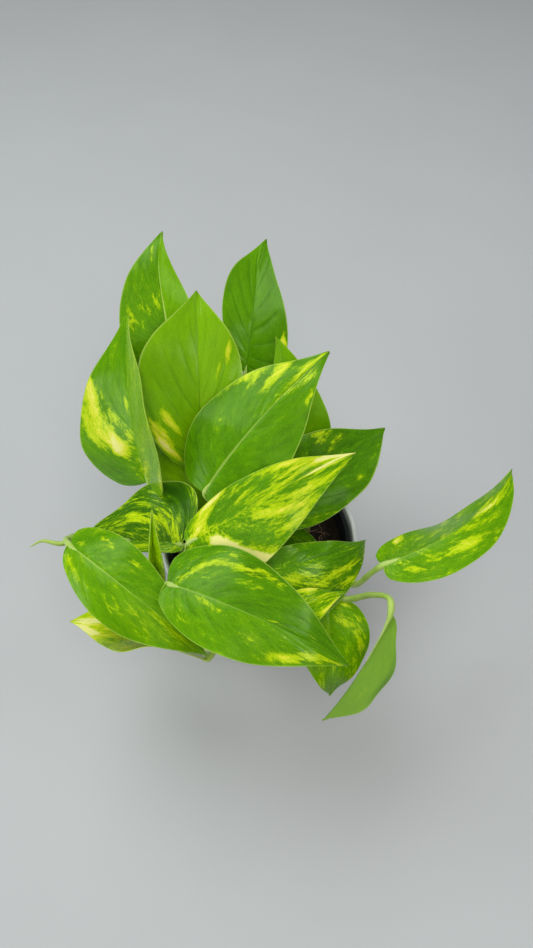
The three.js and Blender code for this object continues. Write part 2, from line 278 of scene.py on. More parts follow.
# Marbling: scale along and across the blade, step from leaf to leaf, detail and distortion of each noise
streakNoises = {
    "broad": (7.0, 1.7, 37.0, 2.0, 0.5),
    "middle": (26.0, 5.5, 53.0, 3.0, 0.9),
    "fine": (80.0, 22.0, 71.0, 2.0, 0.8),
    "fleck": (110.0, 34.0, 91.0, 1.0, 0.8),
}
streakWeights = {"broad": 1.2, "middle": 1.4, "fine": 0.85}
greenWeights = {"middle": 0.75, "fine": 0.35, "broad": 0.6}
heightWeights = {"middle": 0.4, "fine": 0.25}
fleck = {"low": 0.6, "high": 0.7, "weight": 0.16}
paleSteps = {"chartreuse": (0.16, 0.6), "yellow": (0.56, 1.0), "cream": (1.0, 1.5)}
sideVeins = {"count": 10, "sideShift": 0.21, "width": 0.14, "height": -0.35}
midrib = {"tipWidth": 0.01, "widening": 0.03, "inner": 0.45, "outer": 1.3}
# colour attributes keep no negative numbers, so streaks and rib are stored this much higher
attributeShift = 2.0


def makeLeafPattern():
    # streaks follow the side veins: the first map axis runs along the blade, the second out from the midrib
    tree, given, gives = newGroup(
        "leafPattern",
        [("Map", "Vector"), ("Traits", "Color"), ("Paint", "Color"), ("Rib", "Float"), ("Veins", "Float")],
        [("Color", "Color"), ("Height", "Float")],
    )
    split = addNode(tree, "ShaderNodeSeparateXYZ", Vector=given["Map"])
    along = split.outputs[0]
    across = mathNode(tree, "SUBTRACT", mathNode(tree, "MULTIPLY", split.outputs[1], 2.0), 1.0)
    out = mathNode(tree, "ABSOLUTE", across)
    side = mathNode(tree, "SIGN", across)
    traits = addNode(tree, "ShaderNodeSeparateColor", Color=given["Traits"])
    tone, storedStreaks, seed = traits.outputs
    paint = addNode(tree, "ShaderNodeSeparateColor", Color=given["Paint"])
    yellowPaint, creamPaint, darkPaint = paint.outputs
    streaks = mathNode(tree, "SUBTRACT", storedStreaks, attributeShift)
    ribTone = mathNode(tree, "SUBTRACT", given["Rib"], attributeShift)

    def streakNoise(alongScale, acrossScale, leafStep, detail, distortion):
        x = mathNode(tree, "MULTIPLY", along, alongScale)
        otherSide = mathNode(tree, "MULTIPLY", side, 7.3)
        y = mathNode(tree, "MULTIPLY_ADD", out, acrossScale, otherSide)
        z = mathNode(tree, "MULTIPLY", seed, leafStep)
        place = addNode(tree, "ShaderNodeCombineXYZ", X=x, Y=y, Z=z).outputs[0]
        return noiseNode(tree, place, 1.0, detail, 0.55, distortion)

    noises = {name: streakNoise(*sizes) for name, sizes in streakNoises.items()}

    def addNoises(weights, total):
        # each noise is taken about zero
        for name, weight in weights.items():
            centred = mathNode(tree, "SUBTRACT", noises[name], 0.5)
            total = mathNode(tree, "MULTIPLY_ADD", centred, weight, total)
        return total

    # high sums turn chartreuse, then yellow, then cream
    painted = mathNode(tree, "MULTIPLY", yellowPaint, 1.3, clamp=True)
    unpainted = mathNode(tree, "SUBTRACT", 1.0, painted)
    amount = addNoises(streakWeights, mathNode(tree, "MULTIPLY", streaks, unpainted))
    flecks = stepNode(tree, noises["fleck"], fleck["low"], fleck["high"])
    amount = mathNode(tree, "MULTIPLY_ADD", flecks, fleck["weight"], amount)
    amount = mathNode(tree, "ADD", amount, yellowPaint)
    amount = mathNode(tree, "SUBTRACT", amount, darkPaint)

    # a leaf with few streaks has calmer greens as well
    calm = mathNode(tree, "MULTIPLY_ADD", streaks, 0.7, 1.0, clamp=True)
    greenShare = mathNode(tree, "MULTIPLY_ADD", addNoises(greenWeights, 0.0), calm, tone)
    greenShare = mathNode(tree, "MULTIPLY_ADD", darkPaint, -0.5, greenShare)
    doubled = mathNode(tree, "MULTIPLY", greenShare, 2.0)
    lower = mixColour(tree, doubled, leafColours["deep"], leafColours["middle"])
    colour = mixColour(tree, mathNode(tree, "SUBTRACT", doubled, 1.0), lower, leafColours["light"])
    for name, (low, high) in paleSteps.items():
        level = mathNode(tree, "ADD", amount, creamPaint) if name == "cream" else amount
        colour = mixColour(tree, stepNode(tree, level, low, high), colour, leafColours[name])

    # side veins, a little darker: painted shade in their grooves
    veinPlace = mathNode(tree, "MULTIPLY", along, sideVeins["count"])
    veinShift = mathNode(tree, "MULTIPLY", side, sideVeins["sideShift"])
    veinWave = mathNode(tree, "PINGPONG", mathNode(tree, "ADD", veinPlace, veinShift), 0.5)
    veins = mathNode(tree, "SUBTRACT", 1.0, stepNode(tree, veinWave, 0.0, sideVeins["width"]))
    beforeEdge = mathNode(tree, "SUBTRACT", 1.0, stepNode(tree, out, 0.6, 0.98))
    pastRib = mathNode(tree, "MULTIPLY", stepNode(tree, out, 0.03, 0.12), beforeEdge)
    veins = mathNode(tree, "MULTIPLY", veins, pastRib)
    darker = mixColour(tree, 1.0, colour, leafColours["veinShade"], "MULTIPLY")
    colour = mixColour(tree, mathNode(tree, "MULTIPLY", veins, given["Veins"]), colour, darker)

    # midrib, pale where its tone is above zero and dark where it is below
    ribWidth = mathNode(tree, "SUBTRACT", 1.0, along)
    ribWidth = mathNode(tree, "MULTIPLY_ADD", ribWidth, midrib["widening"], midrib["tipWidth"])
    ribStrength = mathNode(tree, "ADD", mathNode(tree, "ABSOLUTE", ribTone), 0.5)
    ribPlace = mathNode(tree, "DIVIDE", out, mathNode(tree, "MULTIPLY", ribWidth, ribStrength))
    rib = mathNode(tree, "SUBTRACT", 1.0, stepNode(tree, ribPlace, midrib["inner"], midrib["outer"]))
    for sign, name in ((1.0, "rib"), (-1.0, "deep")):
        strength = mathNode(tree, "MAXIMUM", mathNode(tree, "MULTIPLY", ribTone, sign), 0.0)
        colour = mixColour(tree, mathNode(tree, "MULTIPLY", rib, strength), colour, leafColours[name])
    margin = mathNode(tree, "MULTIPLY", stepNode(tree, out, 0.975, 0.995), 0.6)
    colour = mixColour(tree, margin, colour, leafColours["margin"])

    height = 0.0
    for name, weight in heightWeights.items():
        height = mathNode(tree, "MULTIPLY_ADD", noises[name], weight, height)
    height = mathNode(tree, "MULTIPLY_ADD", veins, sideVeins["height"], height)
    tree.links.new(colour, gives["Color"])
    tree.links.new(height, gives["Height"])
    return tree


leafPattern = makeLeafPattern()

leafSurface = {"grainScale": 1400.0, "grainHeight": 0.12, "bump": 0.25, "bumpDepth": 0.0004,
               "roughSpread": 0.14, "upperRough": 0.2, "underRough": 0.3, "underTint": 0.4}
leafShine = {"Specular IOR Level": 0.5, "Specular Tint": (0.85, 1.0, 0.5, 1), "IOR": 1.45,
             "Subsurface Weight": 0.08, "Subsurface Radius": (0.6, 1.0, 0.1), "Subsurface Scale": 0.0012}


def makeLeafMaterial(name, underside):
    material, tree, shader = newMaterial(name)
    mapNode = addNode(tree, "ShaderNodeUVMap", {"uv_map": "leafMap"})
    traits = addNode(tree, "ShaderNodeAttribute", {"attribute_name": "leafTraits"})
    paint = addNode(tree, "ShaderNodeAttribute", {"attribute_name": "leafPaint"})
    pattern = addNode(tree, "ShaderNodeGroup", {"node_tree": leafPattern}, Map=mapNode.outputs[0],
                      Traits=traits.outputs["Color"], Paint=paint.outputs["Color"],
                      Rib=paint.outputs["Alpha"], Veins=traits.outputs["Alpha"])
    colour = pattern.outputs["Color"]
    place = addNode(tree, "ShaderNodeTexCoord").outputs["Object"]
    grain = noiseNode(tree, place, leafSurface["grainScale"])
    rough = leafSurface["upperRough"]
    if underside:
        colour = mixColour(tree, leafSurface["underTint"], colour, leafColours["underTint"])
        rough = leafSurface["underRough"]
    height = mathNode(tree, "MULTIPLY_ADD", grain, leafSurface["grainHeight"], pattern.outputs["Height"])
    bump = addNode(tree, "ShaderNodeBump", Strength=leafSurface["bump"], Distance=leafSurface["bumpDepth"],
                   Height=height)
    rough = mathNode(tree, "MULTIPLY_ADD", grain, leafSurface["roughSpread"], rough)
    fillSockets(tree, shader, {"Base Color": colour, "Roughness": rough, "Normal": bump.outputs[0]})
    fillSockets(tree, shader, leafShine)
    return material


leafUpper = makeLeafMaterial("leaf_upper", False)
leafUnder = makeLeafMaterial("leaf_under", True)


def makeMottle():
    # soft patches and fine grain that several finishes share
    tree, given, gives = newGroup(
        "mottle",
        [("Place", "Vector"), ("Patch", "Float"), ("Grain", "Float")],
        [("Patches", "Float"), ("Grains", "Float"), ("Height", "Float")],
    )
    patches = noiseNode(tree, given["Place"], given["Patch"], 3.0, 0.55, 0.2)
    grains = noiseNode(tree, given["Place"], given["Grain"], 2.0, 0.6)
    height = mathNode(tree, "MULTIPLY_ADD", grains, 0.5, patches)
    tree.links.new(patches, gives["Patches"])
    tree.links.new(grains, gives["Grains"])
    tree.links.new(height, gives["Height"])
    return tree


mottle = makeMottle()


def addMottle(tree, patchScale, grainScale):
    place = addNode(tree, "ShaderNodeTexCoord").outputs["Object"]
    return addNode(tree, "ShaderNodeGroup", {"node_tree": mottle}, Place=place, Patch=patchScale,
                   Grain=grainScale)


def makePlainMaterial(name, look):
    # one finish: two colours mixed by patches and grain, with roughness and bump from the same
    material, tree, shader = newMaterial(name)
    spots = addMottle(tree, look["patchScale"], look["grainScale"])
    first, second, third = ((*colour, 1) for colour in look["colours"])
    share = stepNode(tree, spots.outputs["Patches"], 0.35, 0.65)
    colour = mixColour(tree, share, first, second)
    grain = stepNode(tree, spots.outputs["Grains"], 0.3, 0.7)
    colour = mixColour(tree, mathNode(tree, "MULTIPLY", grain, look["speckle"]), colour, third)
    rough = mathNode(tree, "MULTIPLY_ADD", spots.outputs["Patches"], look["roughSpread"], look["rough"])
    bump = addNode(tree, "ShaderNodeBump", Strength=look["bump"], Distance=look["depth"],
                   Height=spots.outputs["Height"])
    fillSockets(tree, shader, {"Base Color": colour, "Roughness": rough, "Normal": bump.outputs[0]})
    fillSockets(tree, shader, {"Coat Weight": look.get("coat", 0), "Coat Roughness": 0.06})
    return material


# Colours: the main one, that of the patches and that of the grains
finishes = {
    "white_glaze": {
        "colours": [(0.93, 0.94, 0.93), (0.91, 0.925, 0.915), (0.86, 0.87, 0.86)],
        "patchScale": 28.0, "grainScale": 900.0, "speckle": 0.12, "rough": 0.13, "roughSpread": 0.08,
        "bump": 0.05, "depth": 0.0004, "coat": 0.5},
    "black_plastic": {
        "colours": [(0.011, 0.013, 0.016), (0.018, 0.02, 0.024), (0.04, 0.042, 0.045)],
        "patchScale": 60.0, "grainScale": 1500.0, "speckle": 0.25, "rough": 0.34, "roughSpread": 0.2,
        "bump": 0.12, "depth": 0.0002},
    "potting_soil": {
        "colours": [(0.006, 0.005, 0.004), (0.017, 0.012, 0.009), (0.05, 0.032, 0.02)],
        "patchScale": 160.0, "grainScale": 1500.0, "speckle": 0.3, "rough": 0.8, "roughSpread": 0.2,
        "bump": 0.7, "depth": 0.0008},
    "soil_fibre": {
        "colours": [(0.26, 0.16, 0.09), (0.08, 0.05, 0.03), (0.4, 0.26, 0.14)],
        "patchScale": 90.0, "grainScale": 2600.0, "speckle": 0.4, "rough": 0.7, "roughSpread": 0.2,
        "bump": 0.4, "depth": 0.0002},
    "green_stalk": {
        "colours": [(0.33, 0.5, 0.06), (0.42, 0.58, 0.11), (0.56, 0.66, 0.26)],
        "patchScale": 120.0, "grainScale": 1200.0, "speckle": 0.3, "rough": 0.3, "roughSpread": 0.14,
        "bump": 0.12, "depth": 0.0003},
    "green_stem": {
        "colours": [(0.2, 0.33, 0.04), (0.3, 0.43, 0.08), (0.3, 0.3, 0.1)],
        "patchScale": 110.0, "grainScale": 1100.0, "speckle": 0.35, "rough": 0.36, "roughSpread": 0.16,
        "bump": 0.25, "depth": 0.0004},
    "node_scar": {
        "colours": [(0.17, 0.12, 0.05), (0.1, 0.07, 0.03), (0.3, 0.24, 0.12)],
        "patchScale": 300.0, "grainScale": 2200.0, "speckle": 0.4, "rough": 0.6, "roughSpread": 0.2,
        "bump": 0.5, "depth": 0.0003},
}
finish = {name: makePlainMaterial(name, look) for name, look in finishes.items()}
print("materials made")


# Turned pieces: a circle is extruded ring by ring along a profile of (radius, height) in millimetres

def turnedPiece(name, profile, sides):
    radius, height = profile[0]
    clearSelection()
    bpy.ops.mesh.primitive_circle_add(vertices=sides, radius=radius * mm, location=(0, 0, height * mm))
    piece = nameNew(name)
    bpy.ops.object.transform_apply(location=True, rotation=False, scale=False)
    editAll(piece)
    bpy.ops.mesh.edge_face_add()
    for nextRadius, nextHeight in profile[1:]:
        rise = (0, 0, (nextHeight - height) * mm)
        bpy.ops.mesh.extrude_region_move(TRANSFORM_OT_translate={"value": rise})
        grow = nextRadius / radius
        bpy.ops.transform.resize(value=(grow, grow, 1), center_override=(0, 0, nextHeight * mm))
        radius, height = nextRadius, nextHeight
    bpy.ops.mesh.select_all(action="SELECT")
    bpy.ops.mesh.normals_make_consistent(inside=False)
    leaveEdit()
    bpy.ops.object.shade_smooth_by_angle(angle=math.radians(40))
    return piece


def drillHole(piece, place, radius, depth, sides):
    # a round hole, upright, with its middle at place
    clearSelection()
    bpy.ops.mesh.primitive_cylinder_add(vertices=sides, radius=radius * mm, depth=depth * mm,
                                        location=place * mm)
    drill = nameNew("drill")
    applyModifier(piece, "BOOLEAN", operation="DIFFERENCE", object=drill, solver="EXACT")
    bpy.data.objects.remove(drill)


def arcPoints(middleRadius, middleHeight, size, start, end, count):
    points = []
    for i in range(count + 1):
        angle = math.radians(start + (end - start) * i / count)
        points.append((middleRadius + size * math.cos(angle), middleHeight + size * math.sin(angle)))
    return points


# Radii and heights in millimetres; standIn: how far in from the base the ring that it stands on ends
pot = {"height": 100, "rim": 60, "base": 42, "wall": 2.8, "floor": 4, "foot": 1.4, "recess": 0.9,
       "standIn": 5.6, "floorBend": 3, "wallSteps": 14, "hub": 4, "sides": 144}


def makePot():
    base, wall, foot, floor = pot["base"], pot["wall"], pot["foot"], pot["floor"]
    bend, steps = pot["floorBend"], pot["wallSteps"]
    slope = (pot["rim"] - base) / pot["height"]
    rimHeight = pot["height"] - wall / 2
    standEdge = base - pot["standIn"]
    profile = [(pot["hub"], pot["recess"]), (standEdge - 1.4, pot["recess"]), (standEdge - 0.6, 0.25),
               (standEdge, 0), (base - foot, 0)]
    profile += arcPoints(base - foot, foot, foot, -75, -8, 4)
    for i in range(1, steps):
        height = foot + (rimHeight - foot) * i / steps
        profile.append((base + slope * height, height))
    profile += arcPoints(pot["rim"] - wall / 2, rimHeight, wall / 2, 0, 180, 10)
    for i in range(1, steps):
        height = rimHeight - (rimHeight - floor - bend) * i / steps
        profile.append((base + slope * height - wall, height))
    profile += arcPoints(base + slope * floor - wall - bend, floor + bend, bend, -10, -90, 5)
    profile.append((pot["hub"], floor))
    piece = turnedPiece("cover_pot", profile, pot["sides"])
    piece.data.materials.append(finish["white_glaze"])
    placePiece(piece, "pot")


makePot()
print("cover pot turned")

liner = {"foot": 4.35, "rim": 56, "rimHeight": 98, "top": 54, "base": 37, "wall": 0.9, "lip": 2, "collar": 5,
         "footBend": 1.2, "wallSteps": 10, "hub": 4, "holes": 6, "holeRadius": 4, "holeRing": 26,
         "sides": 120}


def makeNurseryPot():
    foot, wall, base, bend = liner["foot"], liner["wall"], liner["base"], liner["footBend"]
    top, rim, height = liner["top"], liner["rim"], liner["rimHeight"]
    collar = height - liner["collar"]
    lipFoot = height - liner["lip"]
    steps = liner["wallSteps"]
    profile = [(liner["hub"], foot), (base - bend, foot), (base - 0.3, foot + 0.3), (base, foot + bend)]
    for i in range(1, steps + 1):
        profile.append((base + (top - base) * i / steps, foot + bend + (collar - foot - bend) * i / steps))
    profile += [(top, lipFoot), (rim - 0.3, lipFoot), (rim, lipFoot + 0.3), (rim, height - 0.6)]
    profile += arcPoints(rim - 0.6, height - 0.6, 0.6, 20, 90, 4)
    profile += [(top - 0.3, height), (top - wall, height - 0.5), (top - wall, collar)]
    for i in range(1, steps + 1):
        profile.append((top - wall - (top - base) * i / steps, collar - (collar - foot - wall) * i / steps))
    profile.append((liner["hub"], foot + wall))
    piece = turnedPiece("nursery_pot_fine", profile, liner["sides"])
    for i in range(liner["holes"]):
        angle = 2 * math.pi * i / liner["holes"]
        place = Vector((liner["holeRing"] * math.cos(angle), liner["holeRing"] * math.sin(angle), foot))
        drillHole(piece, place, liner["holeRadius"], 6, 32)
    piece.data.materials.append(finish["black_plastic"])
    placePiece(piece, "nursery_pot")


makeNurseryPot()
print("nursery pot turned")

# Stems: the same routes as the solids, in millimetres
stemRoutes = {
    "vine_1": [(-30, -16, 66), (-30, -16, 80), (-30, -16, 92), (-38, -16, 106), (-58, -15, 115),
               (-84, -16, 122), (-108, -17, 128)],
    "vine_2": [(-10, -30, 66), (-10, -30, 80), (-10, -30, 92), (-12, -38, 104), (-16, -50, 110),
               (-20, -60, 108)],
    "vine_3": [(22, -22, 66), (22, -22, 80), (22, -22, 92), (26, -28, 100), (33, -36, 105), (41, -42, 108)],
    "vine_4": [(30, 12, 66), (30, 12, 80), (30, 12, 92), (30, 18, 104), (24, 28, 112)],
    "vine_5": [(-20, 16, 66), (-20, 16, 80), (-20, 16, 92), (-24, 22, 104), (-32, 30, 114), (-42, 40, 124)],
    "vine_6": [(0, 2, 66), (0, 2, 80), (0, 2, 92), (-4, 2, 106), (-10, 4, 120)],
}
growingTip = {"points": [(-104, -18, 127), (-112, -21, 127), (-122, -21, 130), (-128, -25, 130)],
              "radius": 1.5, "endRadius": 0.15, "seamDepth": 0.25, "steps": 40, "sides": 16}
routes = {name: Route([Vector(p) * mm for p in points]) for name, points in stemRoutes.items()}

# Leaves, in millimetres and degrees; pairs are for the left and right half of the blade.
# at: place along the stem. stalk: points that the stalk passes. base, tip: ends of the midrib.
# arch, sway: how far the midrib bows up and to the right, early and late. wave: height of the edge's waves.
# roll, twist: turn about the midrib, all over and from base to tip. wide, slant, fold, curl: each half.
leaves = {
    # big leaf at the left, folding back over the rim
    "vine_1_leaf_1": {"at": 0.92, "stalk": [(-107, -22, 134)], "base": (-103, -29, 140),
        "tip": (-27, -81, 112), "arch": (9, 7), "roll": 12, "wide": (0.64, 0.66), "slant": (0, 0.8),
        "fold": (0, 0), "curl": (-30, -35)},
    # mottled leaf that points left
    "vine_1_leaf_2": {"at": 0.4, "stalk": [(-42, -22, 118)], "base": (-43, -24, 131.5),
        "tip": (-112, -8, 100), "arch": (3, 1), "wide": (0.27, 1.46), "slant": (0.6, -0.16),
        "fold": (0, 18), "curl": (-25, -6)},
    # small young leaf, still folded
    "vine_1_leaf_3": {"at": 0.58, "stalk": [(-56, -32, 112)], "base": (-57, -40, 119),
        "tip": (-56, -20, 162), "arch": (2, 2), "wide": (0.34, 0.6), "fold": (70, 45), "curl": (0, 0),
        "wave": 0},
    # big front leaf
    "vine_2_leaf_1": {"at": 0.6, "stalk": [(-33, -55, 136)], "base": (-46, -58, 152),
        "tip": (47, -92, 126), "arch": (9, 8), "roll": 10, "wide": (0.88, 0.68), "slant": (0, 0.4),
        "fold": (0, 0), "curl": (-20, -20)},
    # low leaf under it that points left
    "vine_2_leaf_2": {"at": 0.95, "stalk": [(-22, -68, 104)], "base": (-28, -77, 98),
        "tip": (-112, -50, 86), "arch": (4, 4), "roll": 66, "twist": -80, "wide": (0.9, 0.7),
        "slant": (0.3, 0.4), "fold": (0, 0), "curl": (20, -10)},
    # cream splashed leaf across the middle
    "vine_2_leaf_3": {"at": 0.5, "stalk": [(-28, -34, 128)], "base": (-38, -32, 146.5),
        "tip": (55.5, 22, 155.5), "arch": (6, 4), "sway": (1, -1), "roll": 20, "wide": (0.45, 0.84),
        "slant": (0.8, -0.4), "fold": (0, 0), "curl": (-10, -25)},
    # leaf that points right from the middle
    "vine_3_leaf_1": {"at": 0.5, "stalk": [(8, -40, 118)], "base": (-2, -48, 135.5),
        "tip": (63, -12, 116), "sway": (-0.8, 2.1), "roll": 22, "wide": (0.42, 1.24),
        "slant": (0, 0.27), "fold": (0, 0), "curl": (-10, -30)},
    # low yellow leaf under it
    "vine_3_leaf_2": {"at": 0.4, "stalk": [(6, -58, 118)], "base": (-5, -80, 130),
        "tip": (48, -49, 124), "wide": (0.6, 0.7)},
    # leaf that hangs down in front
    "vine_3_leaf_3": {"at": 0.68, "stalk": [(38, -46, 107)], "base": (39, -51, 110),
        "tip": (41, -88, 66), "wide": (1.12, 0.95)},
    # long leaf far to the right
    "vine_3_leaf_4": {"at": 0.85, "stalk": [(46, -36, 110), (54, -40, 113.5), (61, -43, 134)],
        "base": (66, -45, 148), "tip": (144, 15, 150), "sway": (7, 7), "wide": (0.66, 0.56),
        "slant": (0, 0.4), "fold": (-45, 0), "curl": (-10, -20), "lobeCurl": (50, 0)},
    # folded leaf that hangs at the right
    "vine_3_leaf_5": {"at": 0.98, "stalk": [(48, -48, 112), (61, -54, 130), (67.5, -64, 145)],
        "base": (67, -71, 144), "tip": (35, -108.3, 88.2), "arch": (1.2, 0.8), "sway": (1.2, 1.7),
        "roll": -130, "wide": (0.91, 0.63), "slant": (2.8, 1.4), "fold": (46, 81), "curl": (-1, -2)},
    # dark leaf at the right
    "vine_4_leaf_1": {"at": 0.5, "stalk": [(22, 4, 112)], "base": (8, -4, 121.5),
        "tip": (80, 64, 125.5), "wide": (1, 0.81), "slant": (0, 0.53)},
    # dull leaf behind the central one
    "vine_4_leaf_2": {"at": 0.8, "stalk": [(20, 34, 108)], "base": (15, 41, 112),
        "tip": (10, 99, 171.5), "arch": (1, 3), "sway": (0, 3), "wide": (0.55, 1.06)},
    # back left leaf
    "vine_5_leaf_1": {"at": 0.95, "stalk": [(-52, 66, 140)], "base": (-58, 84, 150),
        "tip": (-61, 163, 200), "sway": (4, -4), "wide": (0.9, 0.6), "slant": (0.29, -0.1)},
    # left leaf
    "vine_5_leaf_2": {"at": 0.5, "stalk": [(-56, 14, 112)], "base": (-66, 18, 131.5),
        "tip": (-78, 99, 190), "roll": -30, "wide": (1.25, 0.84), "slant": (0.15, -0.18),
        "fold": (0, 32), "curl": (-10, 10)},
    # big upright leaf
    "vine_5_leaf_3": {"at": 0.8, "stalk": [(-32, 30, 118)], "base": (-34, 29, 126),
        "tip": (-37, 111, 197), "wide": (0.98, 0.71), "slant": (0.7, 1.1), "fold": (18, 0),
        "curl": (0, -30)},
    # dull leaf low between them
    "vine_5_leaf_4": {"at": 0.4, "stalk": [(-28, 10, 104)], "base": (-33, 9, 106),
        "tip": (-66, 52, 130), "wide": (0.85, 0.55)},
    # upright leaf at the back right
    "vine_5_leaf_5": {"at": 0.9, "stalk": [(-16, 72, 136)], "base": (-9, 89, 150),
        "tip": (4.5, 174, 186), "sway": (1.2, -1.5), "wide": (0.64, 0.78), "slant": (0.88, -0.43),
        "fold": (15, 10), "curl": (10, 0), "lobeCurl": (110, 0)},
    # low leaf at the back left
    "vine_5_leaf_6": {"at": 0.7, "stalk": [(-38, 50, 119)], "base": (-46, 74, 130),
        "tip": (-105, 123, 117), "wide": (0.75, 1)},
    # central leaf that points up and right
    "vine_6_leaf_1": {"at": 0.9, "stalk": [(-22, 2, 130)], "base": (-31, 3, 143), "tip": (41, 74, 184),
        "wide": (0.88, 0.85), "slant": (0.3, 0), "fold": (10, -8), "curl": (-20, -30)},
    # low inner leaf
    "vine_6_leaf_2": {"at": 0.5, "stalk": [(0, 4, 104)], "base": (4, 4, 102), "tip": (43, -18, 98),
        "arch": (3, 2), "wide": (0.7, 0.7)},
}

